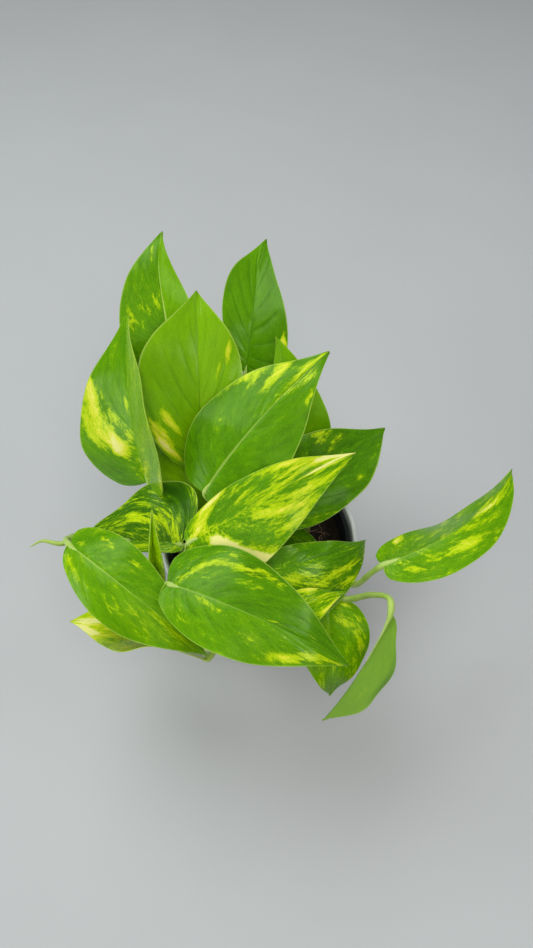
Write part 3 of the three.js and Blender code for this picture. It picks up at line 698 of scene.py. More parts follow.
# Looks of the leaves, pairs for the left and right half. tone: 0 deep to 1 light green. streaks: how much of
# the green turns chartreuse. rib: above 0 a pale midrib, below 0 a dark one. lean: slope of the side veins.
# spots: place along (0 to 1) and across (-1 to 1), length, width, yellow; some have cream and dark as well.
leafLooks = {
    "vine_1_leaf_1": {
        "tone": (0.62, 0.72), "streaks": (0, 0), "rib": 0.5, "veins": 0.2,
        "spots": [
            (0.3, -0.25, 0.06, 0.12, 0.3), (0.45, -0.65, 0.06, 0.14, 0.4), (0.58, -0.7, 0.025, 0.12, 0.4),
            (0.5, -0.4, 0.04, 0.1, 0.3), (0.25, 0.5, 0.09, 0.14, 0.2), (0.36, 0.55, 0.05, 0.15, 0.25),
            (0.55, 0.6, 0.06, 0.15, 0.25), (0.62, 0.45, 0.012, 0.12, 0.4), (0.85, 0.3, 0.07, 0.3, 0.3),
            (0.9, 0.8, 0.06, 0.2, 0.3)]},
    "vine_1_leaf_2": {
        "tone": (0.5, 0.25), "streaks": (0.2, 0.24), "lean": (0.3, 0.45), "rib": 0.1, "veins": 0.3,
        "spots": [
            (0.4, 0.2, 0.1, 0.12, 0.2), (0.6, 0.45, 0.08, 0.2, 0.25), (0.43, 0.78, 0.07, 0.18, 0, 0, 0.7),
            (0.2, 0.4, 0.1, 0.12, 0, 0, 0.3), (0.55, -0.3, 0.1, 0.2, 0.2)]},
    # painted light: tone and streaks are lighter than the leaf's own green, since the model shows the shaded
    # inside of its fold where the real leaf shows its lit outer side
    "vine_1_leaf_3": {
        "tone": (1.35, 1.35), "streaks": (0.3, 0.3), "rib": 0.3, "veins": 0.1,
        "spots": []},
    "vine_2_leaf_1": {
        "tone": (0.46, 0.6), "streaks": (-0.06, -0.08), "lean": (0.22, 0.08), "rib": 0.3, "veins": 0.3,
        "spots": [
            (0.3, -0.2, 0.05, 0.14, 0.35), (0.4, -0.5, 0.035, 0.14, 0.4), (0.48, -0.62, 0.03, 0.09, 0.45),
            (0.56, -0.72, 0.045, 0.11, 0.5), (0.62, -0.88, 0.05, 0.07, 0.6), (0.5, -0.86, 0.03, 0.08, 0.4),
            (0.78, -0.15, 0.018, 0.12, 0.5), (0.85, -0.5, 0.02, 0.1, 0.3),
            (0.18, -0.25, 0.06, 0.2, 0, 0, 0.35), (0.22, 0.14, 0.1, 0.1, 0, 0, 0.25),
            (0.5, 0.1, 0.05, 0.07, 0.5), (0.57, 0.2, 0.03, 0.06, 0.35), (0.63, 0.55, 0.02, 0.12, 0.3),
            (0.72, 0.86, 0.06, 0.1, 0.7), (0.8, 0.8, 0.04, 0.15, 0.6), (0.86, 0.7, 0.04, 0.15, 0.45),
            (0.92, 0.9, 0.05, 0.12, 0.5)]},
    "vine_2_leaf_2": {
        "tone": (1.1, 1.1), "streaks": (0.62, 0.62), "rib": 0.2, "veins": 0.3,
        "spots": [
            (0.58, -0.85, 0.07, 0.2, 0.25), (0.69, -0.82, 0.035, 0.2, 0, 0, 0.4),
            (0.78, -0.78, 0.045, 0.2, 0.5), (0.93, -0.3, 0.07, 0.45, 1.1, 0.6),
            (0.93, 0.3, 0.07, 0.45, 1.1, 0.6), (0.86, -0.9, 0.08, 0.15, 1.0, 0.7)]},
    "vine_2_leaf_3": {
        "tone": (0.6, 0.6), "streaks": (0.22, 0.2), "lean": (0.12, 0.14), "rib": 0, "veins": 0.15,
        "spots": [
            (0.18, -0.2, 0.07, 0.2, 0.5), (0.27, -0.2, 0.09, 0.16, 0.65),
            (0.35, -0.55, 0.06, 0.35, 0.9, 0.1), (0.38, -0.92, 0.05, 0.1, 0.8, 0.2),
            (0.38, -0.1, 0.05, 0.08, 0.5), (0.48, -0.45, 0.05, 0.3, 0, 0, 0.3), (0.5, -0.75, 0.03, 0.1, 0.4),
            (0.55, -0.5, 0.03, 0.12, 0.4), (0.62, -0.9, 0.04, 0.07, 0.6), (0.68, -0.93, 0.04, 0.06, 0.7),
            (0.7, -0.6, 0.025, 0.3, 0.45), (0.78, -0.6, 0.035, 0.35, 0.6), (0.82, -0.86, 0.035, 0.12, 0.8),
            (0.72, -0.1, 0.05, 0.08, 0.5), (0.92, -0.5, 0.06, 0.5, 1.1, 0.9),
            (0.93, 0.15, 0.06, 0.25, 0.7, 0.3), (0.5, 0.6, 0.052, 0.55, 1.25, 1.1),
            (0.58, 0.6, 0.035, 0.4, 0, 0, 0.3), (0.66, 0.3, 0.03, 0.2, 0.4), (0.72, 0.55, 0.025, 0.3, 0.35),
            (0.8, 0.5, 0.03, 0.3, 0.45), (0.7, 0.88, 0.05, 0.1, 0.45), (0.88, 0.85, 0.05, 0.12, 0.55),
            (0.86, 0.2, 0.04, 0.15, 0.4), (0.86, -0.93, 0.09, 0.1, 1.1, 0.8)]},
    "vine_3_leaf_1": {
        "tone": (0.36, 0.42), "streaks": (-0.05, 0.12), "lean": (0.07, 0.3), "rib": 0, "veins": 0.3,
        "spots": [
            (0.55, 0.25, 0.06, 0.12, 0.4), (0.62, 0.5, 0.05, 0.15, 0.35), (0.75, 0.6, 0.035, 0.2, 0.6),
            (0.7, 0.82, 0.03, 0.15, 0.45), (0.85, 0.4, 0.05, 0.3, 0, 0, 0.3)]},
    "vine_3_leaf_2": {
        "tone": (0.6, 0.6), "streaks": (0.2, 0.22), "rib": 0.2, "veins": 0.2,
        "spots": [
            (0.7, -0.94, 0.06, 0.12, 0.6), (0.84, -0.5, 0.03, 0.4, 0.4), (0.83, 0.5, 0.03, 0.3, 0.5),
            (0.8, 0.94, 0.1, 0.07, 0.8), (0.93, -0.3, 0.03, 0.5, 0.3), (0.93, 0.3, 0.03, 0.5, 0.3)]},
    "vine_3_leaf_3": {
        "tone": (0.7, 0.8), "streaks": (0.06, 0.0), "lean": (0.25, 0.15), "rib": 0.1, "veins": 0.3,
        "spots": [
            (0.25, -0.7, 0.05, 0.13, 0.7, 0.1), (0.3, -0.45, 0.06, 0.15, 0.35),
            (0.42, -0.35, 0.05, 0.15, 0.35), (0.5, -0.7, 0.04, 0.15, 0.3), (0.4, -0.8, 0.04, 0.1, 0.35),
            (0.57, -0.8, 0.03, 0.08, 0.4), (0.2, -0.94, 0.04, 0.07, 0.5),
            (0.2, -0.2, 0.1, 0.12, 0, 0, 0.4)]},
    "vine_3_leaf_4": {
        "tone": (0.68, 0.66), "streaks": (0.06, 0.08), "rib": 0.35, "veins": 0.2,
        "spots": [
            (0.39, -0.85, 0.028, 0.14, 0.95, 0.2), (0.5, -0.1, 0.06, 0.15, 0.3),
            (0.62, -0.1, 0.03, 0.12, 0.35), (0.37, 0.5, 0.04, 0.14, 0.6), (0.33, 0.2, 0.04, 0.09, 0.45),
            (0.6, 0.52, 0.045, 0.18, 0.8, 0.25), (0.53, 0.5, 0.02, 0.1, 0.4), (0.7, 0.15, 0.05, 0.15, 0.35),
            (0.83, 0.15, 0.045, 0.3, 0.85, 0.35), (0.81, -0.2, 0.04, 0.25, 0.7, 0.3),
            (0.92, 0.4, 0.03, 0.4, 0.5), (0.93, -0.2, 0.03, 0.3, 0.4)]},
    "vine_3_leaf_5": {
        "tone": (0.35, 1.0), "streaks": (-0.3, -0.3), "rib": 0.2, "veins": 0.15,
        "spots": [
            (0.44, 0.95, 0.1, 0.14, 0, 0, 1.0), (0.51, 0.95, 0.08, 0.12, 0, 0, 0.8),
            # painted sheen: this last spot is a soft pale patch standing in for the light that the underside
            # reflects
            (0.67, 0.65, 0.08, 0.18, 0.35, 0.3)]},
    "vine_4_leaf_1": {
        "tone": (0.35, 0.36), "streaks": (-0.05, -0.05), "rib": 0.1, "veins": 0.3,
        "spots": [
            (0.7, -0.8, 0.025, 0.12, 0.5), (0.77, -0.75, 0.025, 0.12, 0.5), (0.74, -0.5, 0.02, 0.1, 0.4),
            (0.68, -0.94, 0.03, 0.06, 0.5), (0.8, 0.3, 0.02, 0.12, 0.3), (0.62, 0.8, 0.02, 0.1, 0.35)]},
    "vine_4_leaf_2": {
        "tone": (0.75, 0.75), "streaks": (-0.6, -0.6), "rib": 0.1, "veins": 0.3,
        "spots": [
            (0.62, -0.6, 0.05, 0.2, 0.9, 0.4), (0.35, 0.75, 0.03, 0.15, 0.8, 0.1),
            (0.28, 0.55, 0.22, 0.6, 0, 0, 0.9), (0.28, -0.55, 0.22, 0.6, 0, 0, 0.9)]},
    "vine_5_leaf_1": {
        "tone": (0.55, 0.78), "streaks": (-0.08, -0.4), "rib": 1.1, "veins": 0.2,
        "spots": [
            (0.55, -0.78, 0.05, 0.12, 0.35), (0.65, -0.5, 0.025, 0.2, 0.3), (0.72, -0.25, 0.02, 0.12, 0.35),
            (0.86, -0.75, 0.018, 0.25, 0.55), (0.6, 0.3, 0.03, 0.1, 0.3)]},
    "vine_5_leaf_2": {
        "tone": (0.58, 0.95), "streaks": (-0.1, 0.1), "lean": (0.14, 0.1), "rib": 0.15, "veins": 0.2,
        "spots": [
            (0.57, -0.62, 0.08, 0.42, 0.82, 0.12), (0.5, -0.28, 0.06, 0.16, 0.8, 0.15),
            (0.57, -0.08, 0.06, 0.07, 0.5, 0.2), (0.51, -0.78, 0.03, 0.2, 0.35),
            (0.67, -0.9, 0.03, 0.16, 0.65), (0.68, -0.6, 0.02, 0.15, 0.3), (0.64, -0.35, 0.03, 0.15, 0.35),
            (0.72, -0.1, 0.03, 0.07, 0.7), (0.28, -0.62, 0.18, 0.35, 0, 0, 0.35),
            (0.3, -0.12, 0.12, 0.12, 0.3), (0.25, 0.12, 0.15, 0.16, 0.4), (0.38, 0.2, 0.04, 0.15, 0.35),
            (0.35, 0.86, 0.05, 0.2, 0.5), (0.2, 0.6, 0.1, 0.3, 0, 0, 0.3)]},
    "vine_5_leaf_3": {
        "tone": (0.84, 0.98), "streaks": (-0.5, -0.4), "rib": -0.5, "veins": 0.5,
        "spots": [
            (0.34, -0.72, 0.1, 0.24, 1.0, 0.05), (0.48, -0.5, 0.035, 0.2, 0.75),
            (0.44, -0.78, 0.03, 0.1, 0, 0, 0.35), (0.5, -0.93, 0.03, 0.06, 0.4),
            (0.66, 0.6, 0.02, 0.12, 0.7), (0.64, 0.86, 0.025, 0.12, 0.9, 0.1),
            (0.84, 0.1, 0.015, 0.08, 0.35), (0.75, 0.55, 0.012, 0.06, 0.35)]},
    "vine_5_leaf_4": {
        "tone": (1.0, 1.0), "streaks": (-0.6, -0.6), "rib": 0.1, "veins": 0.3,
        "spots": []},
    "vine_5_leaf_5": {
        "tone": (0.5, 0.4), "streaks": (-0.6, -0.6), "rib": -0.4, "veins": 0.8,
        "spots": [
            (0.52, 0.9, 0.05, 0.13, 0.65)]},
    "vine_5_leaf_6": {
        "tone": (0.6, 0.6), "streaks": (0.15, 0.15), "rib": 0.3, "veins": 0.3,
        "spots": []},
    "vine_6_leaf_1": {
        "tone": (0.46, 0.5), "streaks": (-0.14, -0.24), "lean": (0.1, 0.07), "rib": 0.5, "veins": 0.25,
        "spots": [
            (0.62, -0.97, 0.1, 0.07, 0.55), (0.77, -0.8, 0.035, 0.25, 0.75), (0.69, -0.85, 0.02, 0.1, 0.5),
            (0.93, -0.5, 0.07, 0.6, 0.55), (0.9, 0.3, 0.07, 0.4, 0.5), (0.87, 0.72, 0.03, 0.2, 0.45),
            (0.78, 0.92, 0.03, 0.07, 0.6), (0.35, -0.35, 0.1, 0.3, 0, 0, 0.12)]},
    "vine_6_leaf_2": {
        "tone": (0.3, 0.3), "streaks": (0.0, 0.0), "rib": 0.2, "veins": 0.3,
        "spots": []},
}


# Blade surface, the same as the solids have: along the midrib, then out to the left (-1) or right (1)

outlinePoints = [(0, 0), (-0.03, 0.08), (-0.03, 0.17), (0.04, 0.27), (0.19, 0.335), (0.38, 0.325),
                 (0.57, 0.25), (0.76, 0.14), (0.91, 0.05), (1, 0)]
bladeShape = {"widest": 0.335, "veinStart": 2.4, "veinBend": 1.3, "waves": 15, "waveShift": 2.1,
              "rows": 84, "columns": 44, "thickness": 0.5, "lean": 0.07}
# Depth of the grooves and height of the unevenness; size: how far apart its bumps are
relief = {"rib": 0.4, "vein": 0.4, "veinWidth": 0.13, "veinSway": 0.011, "uneven": 0.3, "unevenSize": 11,
          "fineUneven": 0.12, "fineSize": 4.5}


def outlineAt(t):
    steps = len(outlinePoints) - 1
    i = min(int(steps * t), steps)
    w = steps * t - i
    near = [Vector(outlinePoints[min(max(k, 0), steps)]) for k in (i - 1, i, i + 1, i + 2)]
    leave = (near[2] - near[0]) / 2
    arrive = (near[3] - near[1]) / 2
    cubic = (near[1] - near[2]) * 2 + leave + arrive
    square = (near[2] - near[1]) * 3 - leave * 2 - arrive
    return cubic * w ** 3 + square * w ** 2 + leave * w + near[1]


class Blade:
    def __init__(self, form):
        self.form = form
        self.base = Vector(form["base"])
        ahead = Vector(form["tip"]) - self.base
        self.length = ahead.length
        self.ahead = ahead.normalized()
        up = Vector((0, 0, 1))
        up = (up - self.ahead * up.dot(self.ahead)).normalized()
        self.up = Matrix.Rotation(math.radians(form.get("roll", 0)), 3, self.ahead) @ up
        self.right = self.ahead.cross(self.up)
        self.arch = form.get("arch", (6, 4))
        self.sway = form.get("sway", (0, 0))
        self.fold = form.get("fold", (12, 12))
        self.curl = form.get("curl", (-10, -10))
        self.lobeCurl = form.get("lobeCurl", (0, 0))
        self.twist = form.get("twist", 0)
        self.wave = form.get("wave", 1.2)
        self.wide = form.get("wide", (1, 1))
        self.slant = form.get("slant", (0, 0))

    def midrib(self, s):
        early = 6.75 * s * (1 - s) * (1 - s)
        late = 6.75 * s * s * (1 - s)
        rise = self.up * (early * self.arch[0] + late * self.arch[1])
        drift = self.right * (early * self.sway[0] + late * self.sway[1])
        return self.base + self.ahead * (self.length * s) + rise + drift

    def surface(self, along, out, side, share):
        # a point of the blade and the direction square to the blade there
        s = min(0.995, max(0, along))
        here = self.midrib(s)
        tangent = (self.midrib(s + 0.004) - here).normalized()
        across = (self.right - tangent * self.right.dot(tangent)).normalized()
        if self.twist:
            across = Matrix.Rotation(math.radians(self.twist * s), 3, tangent) @ across
        normal = across.cross(tangent)
        half = 0 if side < 0 else 1
        lobe = max(0, 1 - s / 0.5) ** 2
        start = math.radians(self.fold[half])
        turn = math.radians(self.curl[half] + self.lobeCurl[half] * lobe) / bladeShape["widest"]
        bent = start + turn * out
        if abs(turn) < 1e-6:
            sideways, lift = out * math.cos(start), out * math.sin(start)
        else:
            sideways = (math.sin(bent) - math.sin(start)) / turn
            lift = (math.cos(start) - math.cos(bent)) / turn
        phase = bladeShape["waves"] * along + bladeShape["waveShift"] * side
        ripple = self.wave * math.sin(phase) * share * share
        place = here + tangent * (self.length * min(0, along)) + across * (side * self.length * sideways)
        place = place + normal * (self.length * lift + ripple)
        return place, normal * math.cos(bent) - across * (side * math.sin(bent))

    def at(self, t, v):
        side, half = (-1, 0) if v < 0 else (1, 1)
        share = abs(v)
        edge = outlineAt(t)
        foot = t ** bladeShape["veinStart"]
        out = edge.y * share * self.wide[half]
        reach = edge.x + self.slant[half] * edge.y * self.wide[half]
        along = foot + (reach - foot) * share ** bladeShape["veinBend"]
        return self.surface(along, out, side, share if edge.y > 0 else 0), out * self.length

    def underMidrib(self, along, drop):
        place, normal = self.surface(along, 0, 1, 0)
        return place - normal * drop


def sideVein(veinT, side):
    # 1 on a side vein, 0 away from it
    swayed = veinT + relief["veinSway"] * math.sin(23 * veinT + side)
    place = swayed * sideVeins["count"] + sideVeins["sideShift"] * side
    away = abs((place + 0.5) % 1 - 0.5)
    return math.exp(-(away / relief["veinWidth"]) ** 2)


def bladeRelief(look, place, veinT, outward, share, side):
    # grooves of the midrib and the side veins and a gentle unevenness, in millimetres
    rib = relief["rib"] * math.exp(-outward ** 2) * (1 - 0.6 * max(0, veinT))
    fade = smoothStep(0.02, 0.2, share) * (1 - smoothStep(0.7, 1, share))
    vein = look["veins"] * relief["vein"] * sideVein(veinT, side) * fade
    uneven = relief["uneven"] * noise.noise(place / relief["unevenSize"])
    uneven += relief["fineUneven"] * noise.noise(place / relief["fineSize"])
    return uneven * (1 - smoothStep(0.8, 1, share)) * smoothStep(0, 0.15, share) - rib - vein


def paintAt(look, t, v, lean):
    # markings, each along the side veins
    # on vine_3_leaf_5 one spot's yellow and cream are a painted sheen
    yellow = cream = dark = 0
    for spotT, spotV, long, broad, *amounts in look["spots"]:
        if v * spotV < 0:
            continue
        spotYellow, spotCream, spotDark = (*amounts, 0, 0)[:3]
        off = t - spotT - lean * (abs(v) - abs(spotV))
        share = math.exp(-abs(off / long) ** 3 - abs((v - spotV) / broad) ** 3)
        yellow += spotYellow * share
        cream += spotCream * share
        dark += spotDark * share
    return yellow, cream, dark


def evenAtMidrib(pair, v):
    # the value of this half, and the mean of both halves at the midrib
    blend = smoothStep(0, 0.06, abs(v))
    return sum(pair) / 2 * (1 - blend) + pair[0 if v < 0 else 1] * blend


def makeBlade(name, form, seed):
    # a flat grid takes the blade's form, then gets its thickness
    clearSelection()
    rows, columns = bladeShape["rows"], bladeShape["columns"]
    bpy.ops.mesh.primitive_grid_add(x_subdivisions=rows, y_subdivisions=columns, size=2)
    piece = nameNew(name + "_blade")
    mesh = piece.data
    blade = Blade(form)
    look = leafLooks[name]
    leans = look.get("lean", (bladeShape["lean"], bladeShape["lean"]))
    paint = mesh.color_attributes.new("leafPaint", "FLOAT_COLOR", "POINT")
    traits = mesh.color_attributes.new("leafTraits", "FLOAT_COLOR", "POINT")
    mapPlaces = []
    for i, vertex in enumerate(mesh.vertices):
        t, v = (vertex.co.x + 1) / 2, -vertex.co.y
        side, lean = (-1, leans[0]) if v < 0 else (1, leans[1])
        (place, normal), outward = blade.at(t, v)
        veinT = t - lean * abs(v)
        place = place + normal * bladeRelief(look, place, veinT, outward, abs(v), side)
        vertex.co = place * mm
        mapPlaces.append((veinT, v / 2 + 0.5))
        paint.data[i].color = (*paintAt(look, t, v, lean), look["rib"] + attributeShift)
        streaks = evenAtMidrib(look["streaks"], v) + attributeShift
        traits.data[i].color = (evenAtMidrib(look["tone"], v), streaks, seed, look["veins"])
    layer = mesh.uv_layers.active
    layer.name = "leafMap"
    for loop in mesh.loops:
        layer.data[loop.index].uv = mapPlaces[loop.vertex_index]
    editAll(piece)
    bpy.ops.mesh.remove_doubles(threshold=1e-6)
    leaveEdit()
    mesh.materials.append(leafUpper)
    mesh.materials.append(leafUnder)
    applyModifier(piece, "SOLIDIFY", thickness=bladeShape["thickness"] * mm, offset=0, material_offset=1)
    bpy.ops.object.shade_smooth_by_angle(angle=math.radians(50))
    return piece, blade


stalkShape = {"foot": 1.95, "top": 1.45, "knee": 0.4, "end": 0.3, "channel": 0.16, "steps": 44, "sides": 14,
              "under": [(0, 0.8), (0.07, 1.1), (0.16, 0.9), (0.4, 0.4)]}


def makeStalk(name, form, blade, stem):
    # from the stem to the blade, then under its midrib until it has sunk into it
    points = [stem.at(form["at"]) / mm, *(Vector(p) for p in form["stalk"])]
    points += [blade.underMidrib(along, drop) for along, drop in stalkShape["under"]]
    route = Route([p * mm for p in points])
    joint = 1 - stalkShape["under"][-1][0] * blade.length * mm / route.length

    def radiusAt(share, angle):
        if share < joint:
            radius = stalkShape["foot"] + (stalkShape["top"] - stalkShape["foot"]) * share / joint
            radius += stalkShape["knee"] * math.exp(-((share - joint + 0.05) / 0.05) ** 2)
        else:
            left = (1 - share) / (1 - joint)
            radius = stalkShape["end"] + (stalkShape["top"] - stalkShape["end"]) * left ** 4
        beforeJoint = 1 - smoothStep(joint - 0.12, joint - 0.02, share)
        channel = stalkShape["channel"] * math.exp(-((angle - math.pi / 2) / 0.5) ** 2) * beforeJoint
        return radius * (1 - channel) * mm

    stalk = makeTube(name + "_stalk", route, stalkShape["steps"], stalkShape["sides"], radiusAt)
    stalk.data.materials.append(finish["green_stalk"])
    return stalk


def makeLeaf(node, seed):
    form = leaves[node]
    stem = routes[node.rsplit("_leaf_", 1)[0]]
    blade, shape = makeBlade(node, form, seed)
    stalk = makeStalk(node, form, shape, stem)
    leaf = joinPieces(node + "_fine", [blade, stalk])
    placePiece(leaf, node)


for number, node in enumerate(leaves):
    makeLeaf(node, (number + 1) / (len(leaves) + 1))
print("leaves grown:", len(leaves))

# A joint swells where a leaf grows, with a ring groove just past it and the stub of a root under it
stemShape = {"radius": 2.3, "taper": 0.12, "ribHeight": 0.06, "swell": 0.55, "swellLength": 2.6,
             "grooveDepth": 0.28, "groovePast": 4, "grooveWidth": 0.6, "rootStart": 1.2, "rootLength": 4.6,
             "rootRadius": 0.7, "step": 1.1, "sides": 20}


def makeStem(vine):
    route = routes[vine]
    joints = [leaves[node]["at"] * route.length / mm for node in leaves if node.startswith(vine + "_")]
    lengthMm = route.length / mm
    steps = int(lengthMm / stemShape["step"])

    def radiusAt(share, angle):
        place = share * lengthMm
        radius = stemShape["radius"] * (1 - stemShape["taper"] * share)
        for joint in joints:
            past = place - joint
            radius += stemShape["swell"] * math.exp(-(past / stemShape["swellLength"]) ** 2)
            pastGroove = (past - stemShape["groovePast"]) / stemShape["grooveWidth"]
            radius -= stemShape["grooveDepth"] * math.exp(-pastGroove ** 2)
        radius *= 1 - smoothStep(lengthMm - 1.5, lengthMm, place) * 0.6
        radius += stemShape["ribHeight"] * math.sin(5 * angle + share * 9)
        return radius * mm

    def rootRadius(share, angle):
        return stemShape["rootRadius"] * (1 - 0.75 * share ** 2) * mm

    parts = [makeTube(vine + "_tube", route, steps, stemShape["sides"], radiusAt, Vector((1, 0, 0)))]
    parts[0].data.materials.append(finish["green_stem"])
    for joint in joints:
        share = joint / lengthMm
        ahead = route.direction(share)
        down = Vector((0, 0, -1))
        down = (down - ahead * down.dot(ahead)).normalized()
        if abs(ahead.z) > 0.8:
            down = ahead.cross(Vector((0, 1, 0))).normalized()
        start = route.at(share) / mm + down * stemShape["rootStart"]
        rootPoints = [start, start + down * 2, start + down * stemShape["rootLength"]]
        rootRoute = Route([p * mm for p in rootPoints])
        root = makeTube(vine + "_root", rootRoute, 6, 8, rootRadius, Vector((1, 0.3, 0)))
        root.data.materials.append(finish["node_scar"])
        parts.append(root)
    if vine == "vine_1":
        parts.append(makeGrowingTip())
    stem = joinPieces(vine + "_stem_fine", parts)
    placePiece(stem, vine + "_stem")


def makeGrowingTip():
    # a rolled young leaf: its seam winds along it
    route = Route([Vector(p) * mm for p in growingTip["points"]])

    def radiusAt(share, angle):
        radius = growingTip["radius"] * (1 - share ** 2) + growingTip["endRadius"]
        seam = math.exp(-((angle - 1.2 - share) / 0.25) ** 2)
        return radius * (1 - growingTip["seamDepth"] * seam) * mm

    tip = makeTube("growing_tip", route, growingTip["steps"], growingTip["sides"], radiusAt)
    tip.data.materials.append(finish["green_stalk"])
    return tip


for vine in stemRoutes:
    makeStem(vine)
print("stems laid:", len(stemRoutes))

soil = {"level": 87, "lump": 2.2, "crumble": 0.9, "radius": 51.4, "foot": 5.6, "footRadius": 35.5, "hub": 4,
        "sides": 144, "rings": 36, "holeRadius": 2.9, "crumbs": 1100, "crumbKinds": 5,
        "crumbSizes": (0.35, 1.3), "fibres": 420, "fibreKinds": 6, "fibreLength": 3.5, "fibreGrowth": 1.3,
        "fibreEnd": 0.1, "fibreSwell": 0.22, "fibreReach": 0.86, "seed": 7}


def soilHeight(x, y):
    coarse = math.sin(x / 5.1 + 1.2) * math.cos(y / 4.3 - 0.4)
    fine = math.sin((x + y) / 2.3) * math.cos((x - 2 * y) / 3.1)
    crumbly = noise.fractal(Vector((x, y, 3)) / 3.2, 0.6, 2.1, 4)
    lumps = soil["lump"] * (0.6 * coarse + 0.4 * fine) * 0.8
    return soil["level"] + lumps + soil["crumble"] * crumbly


def makeSoilBody():
    profile = [(soil["hub"], soil["foot"]), (soil["footRadius"], soil["foot"]),
               (soil["radius"], soil["level"])]
    piece = turnedPiece("soil_top", profile, soil["sides"])
    pickOnly(piece)
    bpy.ops.object.mode_set(mode="EDIT")
    mesh = bmesh.from_edit_mesh(piece.data)
    for face in mesh.faces:
        face.select = face.normal.z > 0.9
    bmesh.update_edit_mesh(piece.data)
    ringWidth = soil["radius"] * mm / soil["rings"]
    for i in range(soil["rings"] - 2):
        bpy.ops.mesh.inset(thickness=ringWidth)
    bpy.ops.mesh.poke()
    leaveEdit()
    for vertex in piece.data.vertices:
        reach = vertex.co.xy.length / mm
        if vertex.co.z > (soil["level"] - 1) * mm and reach < soil["radius"] - 0.5:
            vertex.co.z = soilHeight(vertex.co.x / mm, vertex.co.y / mm) * mm
    for points in stemRoutes.values():
        drillHole(piece, Vector(points[0]) + Vector((0, 0, 20)), soil["holeRadius"], 40, 24)
    piece.data.materials.clear()
    piece.data.materials.append(finish["potting_soil"])
    pickOnly(piece)
    bpy.ops.object.shade_smooth_by_angle(angle=math.radians(60))
    return piece


def scatterCopies(name, models, count, placeOne, rng, material):
    # one mesh of many small copies, each placed, turned and sized by placeOne
    heap = bmesh.new()
    for i in range(count):
        before = len(heap.verts)
        heap.from_mesh(rng.choice(models).data)
        heap.verts.ensure_lookup_table()
        move = placeOne(rng)
        for vertex in heap.verts[before:]:
            vertex.co = move @ vertex.co
    mesh = bpy.data.meshes.new(name)
    heap.to_mesh(mesh)
    heap.free()
    piece = bpy.data.objects.new(name, mesh)
    bpy.context.scene.collection.objects.link(piece)
    mesh.materials.append(material)
    for model in models:
        bpy.data.objects.remove(model)
    return piece


def soilPlace(rng):
    while True:
        angle = rng.uniform(0, 2 * math.pi)
        reach = (soil["radius"] - 1.5) * math.sqrt(rng.random())
        x, y = reach * math.cos(angle), reach * math.sin(angle)
        if all(math.hypot(x - p[0][0], y - p[0][1]) > 3.6 for p in stemRoutes.values()):
            return x, y


def makeSoil():
    rng = random.Random(soil["seed"])
    body = makeSoilBody()
    crumbModels = []
    for i in range(soil["crumbKinds"]):
        clearSelection()
        bpy.ops.mesh.primitive_ico_sphere_add(subdivisions=1, radius=mm)
        crumb = nameNew("crumb")
        for vertex in crumb.data.vertices:
            vertex.co *= 1 + 0.45 * noise.noise(vertex.co / mm + Vector((i * 9, 0, 0)))
        crumbModels.append(crumb)

    def crumbMove(rng):
        x, y = soilPlace(rng)
        size = rng.uniform(*soil["crumbSizes"]) ** 1.3
        place = Matrix.Translation(Vector((x, y, soilHeight(x, y) + size * 0.2)) * mm)
        angle = rng.uniform(0, 6.3)
        axis = Vector((rng.random(), rng.random(), rng.random() + 0.1))
        sizes = (size, size * rng.uniform(0.6, 1), size * rng.uniform(0.5, 0.9), 1)
        return place @ Matrix.Rotation(angle, 4, axis) @ Matrix.Diagonal(sizes)

    crumbs = scatterCopies("soil_crumbs", crumbModels, soil["crumbs"], crumbMove, rng, finish["potting_soil"])

    def fibreRadius(share, angle):
        return (soil["fibreEnd"] + soil["fibreSwell"] * math.sin(math.pi * share)) * mm

    fibreModels = []
    for i in range(soil["fibreKinds"]):
        half = soil["fibreLength"] + soil["fibreGrowth"] * i
        bend = []
        for s in (-1, -0.4, 0.3, 1):
            bend.append(Vector((s * half, 1.6 * math.sin(s * 2.2 + i), 0.7 * math.sin(s * 3 + 2 * i))) * mm)
        fibreModels.append(makeTube("fibre", Route(bend), 8, 5, fibreRadius))

    def fibreMove(rng):
        x, y = (soil["fibreReach"] * place for place in soilPlace(rng))
        place = Matrix.Translation(Vector((x, y, soilHeight(x, y) + 0.5)) * mm)
        turn = Matrix.Rotation(rng.uniform(0, 6.3), 4, "Z") @ Matrix.Rotation(rng.uniform(-0.3, 0.3), 4, "Y")
        return place @ turn @ Matrix.Scale(rng.uniform(0.5, 1), 4)

    fibres = scatterCopies("soil_fibres", fibreModels, soil["fibres"], fibreMove, rng, finish["soil_fibre"])
    piece = joinPieces("soil_fine", [body, crumbs, fibres])
    placePiece(piece, "soil")


makeSoil()
print("soil filled")


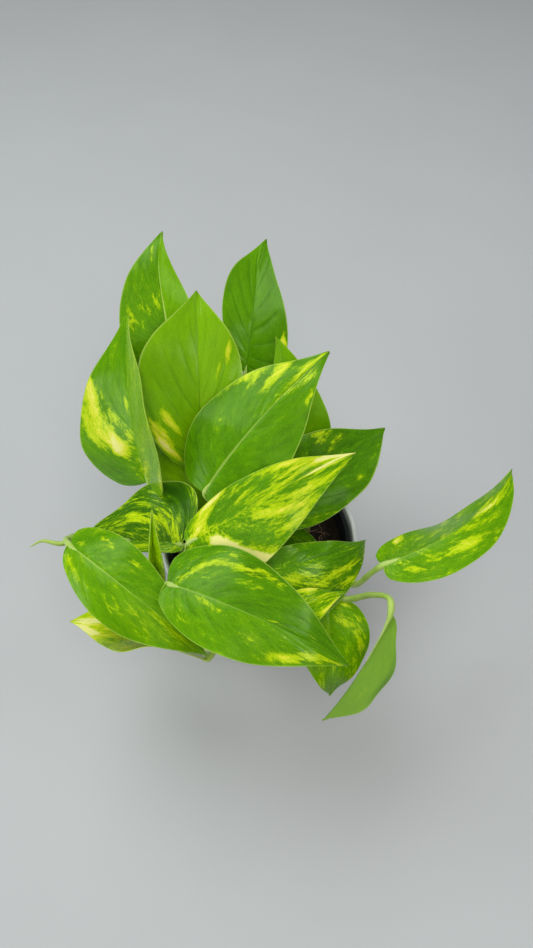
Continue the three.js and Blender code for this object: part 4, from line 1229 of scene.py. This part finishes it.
# Studio, in metres: pale floor, soft light. shines: whether glossy pieces reflect the lamp
studio = {"floorColour": (0.5, 0.5, 0.495, 1), "world": (0.93, 0.97, 1.0, 1), "worldStrength": 0.09,
          "lightsFace": (0, 0, 0.12)}
lights = [
    {"name": "skylight", "place": (-0.45, 0.54, 1.44), "size": (1.1, 0.85), "power": 6,
     "colour": (0.88, 0.95, 1.0), "shines": True},
    {"name": "skylight_soft", "place": (-0.45, 0.54, 1.44), "size": (1.1, 0.85), "power": 8,
     "colour": (0.88, 0.95, 1.0), "shines": False},
    {"name": "window", "place": (-1.35, -0.45, 0.66), "size": (0.7, 0.6), "power": 3.5,
     "colour": (0.88, 0.95, 1.0), "shines": True},
    {"name": "window_soft", "place": (-1.35, -0.45, 0.66), "size": (0.7, 0.6), "power": 5,
     "colour": (0.9, 0.97, 0.96), "shines": False},
    {"name": "right_panel", "place": (1.08, -0.2, 1.15), "size": (0.4, 0.4), "power": 2.5,
     "colour": (0.92, 0.97, 1.0), "shines": True},
    {"name": "fill", "place": (0.1, 0.1, 2.2), "size": (2.4, 2.4), "power": 8.5,
     "colour": (0.97, 1.0, 0.98), "shines": False},
    {"name": "key", "place": (0.25, -1.1, 1.9), "size": (1.2, 1.2), "power": 20,
     "colour": (1.0, 0.99, 0.96), "shines": False},
]


def makeStudio():
    clearSelection()
    bpy.ops.mesh.primitive_plane_add(size=8)
    floor = nameNew("floor")
    material, tree, shader = newMaterial("pale_floor")
    spots = addMottle(tree, 6.0, 240.0)
    shade = mathNode(tree, "MULTIPLY_ADD", spots.outputs["Patches"], 0.08, 0.94)
    colour = mixColour(tree, 1.0, studio["floorColour"], shade, "MULTIPLY")
    fillSockets(tree, shader, {"Base Color": colour, "Roughness": 0.7})
    floor.data.materials.append(material)
    world = bpy.data.worlds.new("studio")
    world.use_nodes = True
    background = world.node_tree.nodes["Background"]
    background.inputs[0].default_value = studio["world"]
    background.inputs[1].default_value = studio["worldStrength"]
    bpy.context.scene.world = world
    for light in lights:
        clearSelection()
        bpy.ops.object.light_add(type="AREA", location=light["place"])
        lamp = nameNew(light["name"])
        lamp.data.shape = "RECTANGLE"
        lamp.data.size, lamp.data.size_y = light["size"]
        lamp.visible_glossy = light["shines"]
        lamp.data.energy = light["power"]
        lamp.data.color = light["colour"]
        facing = Vector(studio["lightsFace"]) - lamp.location
        lamp.rotation_euler = facing.to_track_quat("-Z", "Y").to_euler()
    bpy.context.scene.view_settings.view_transform = "Standard"


makeStudio()
print("studio lit")
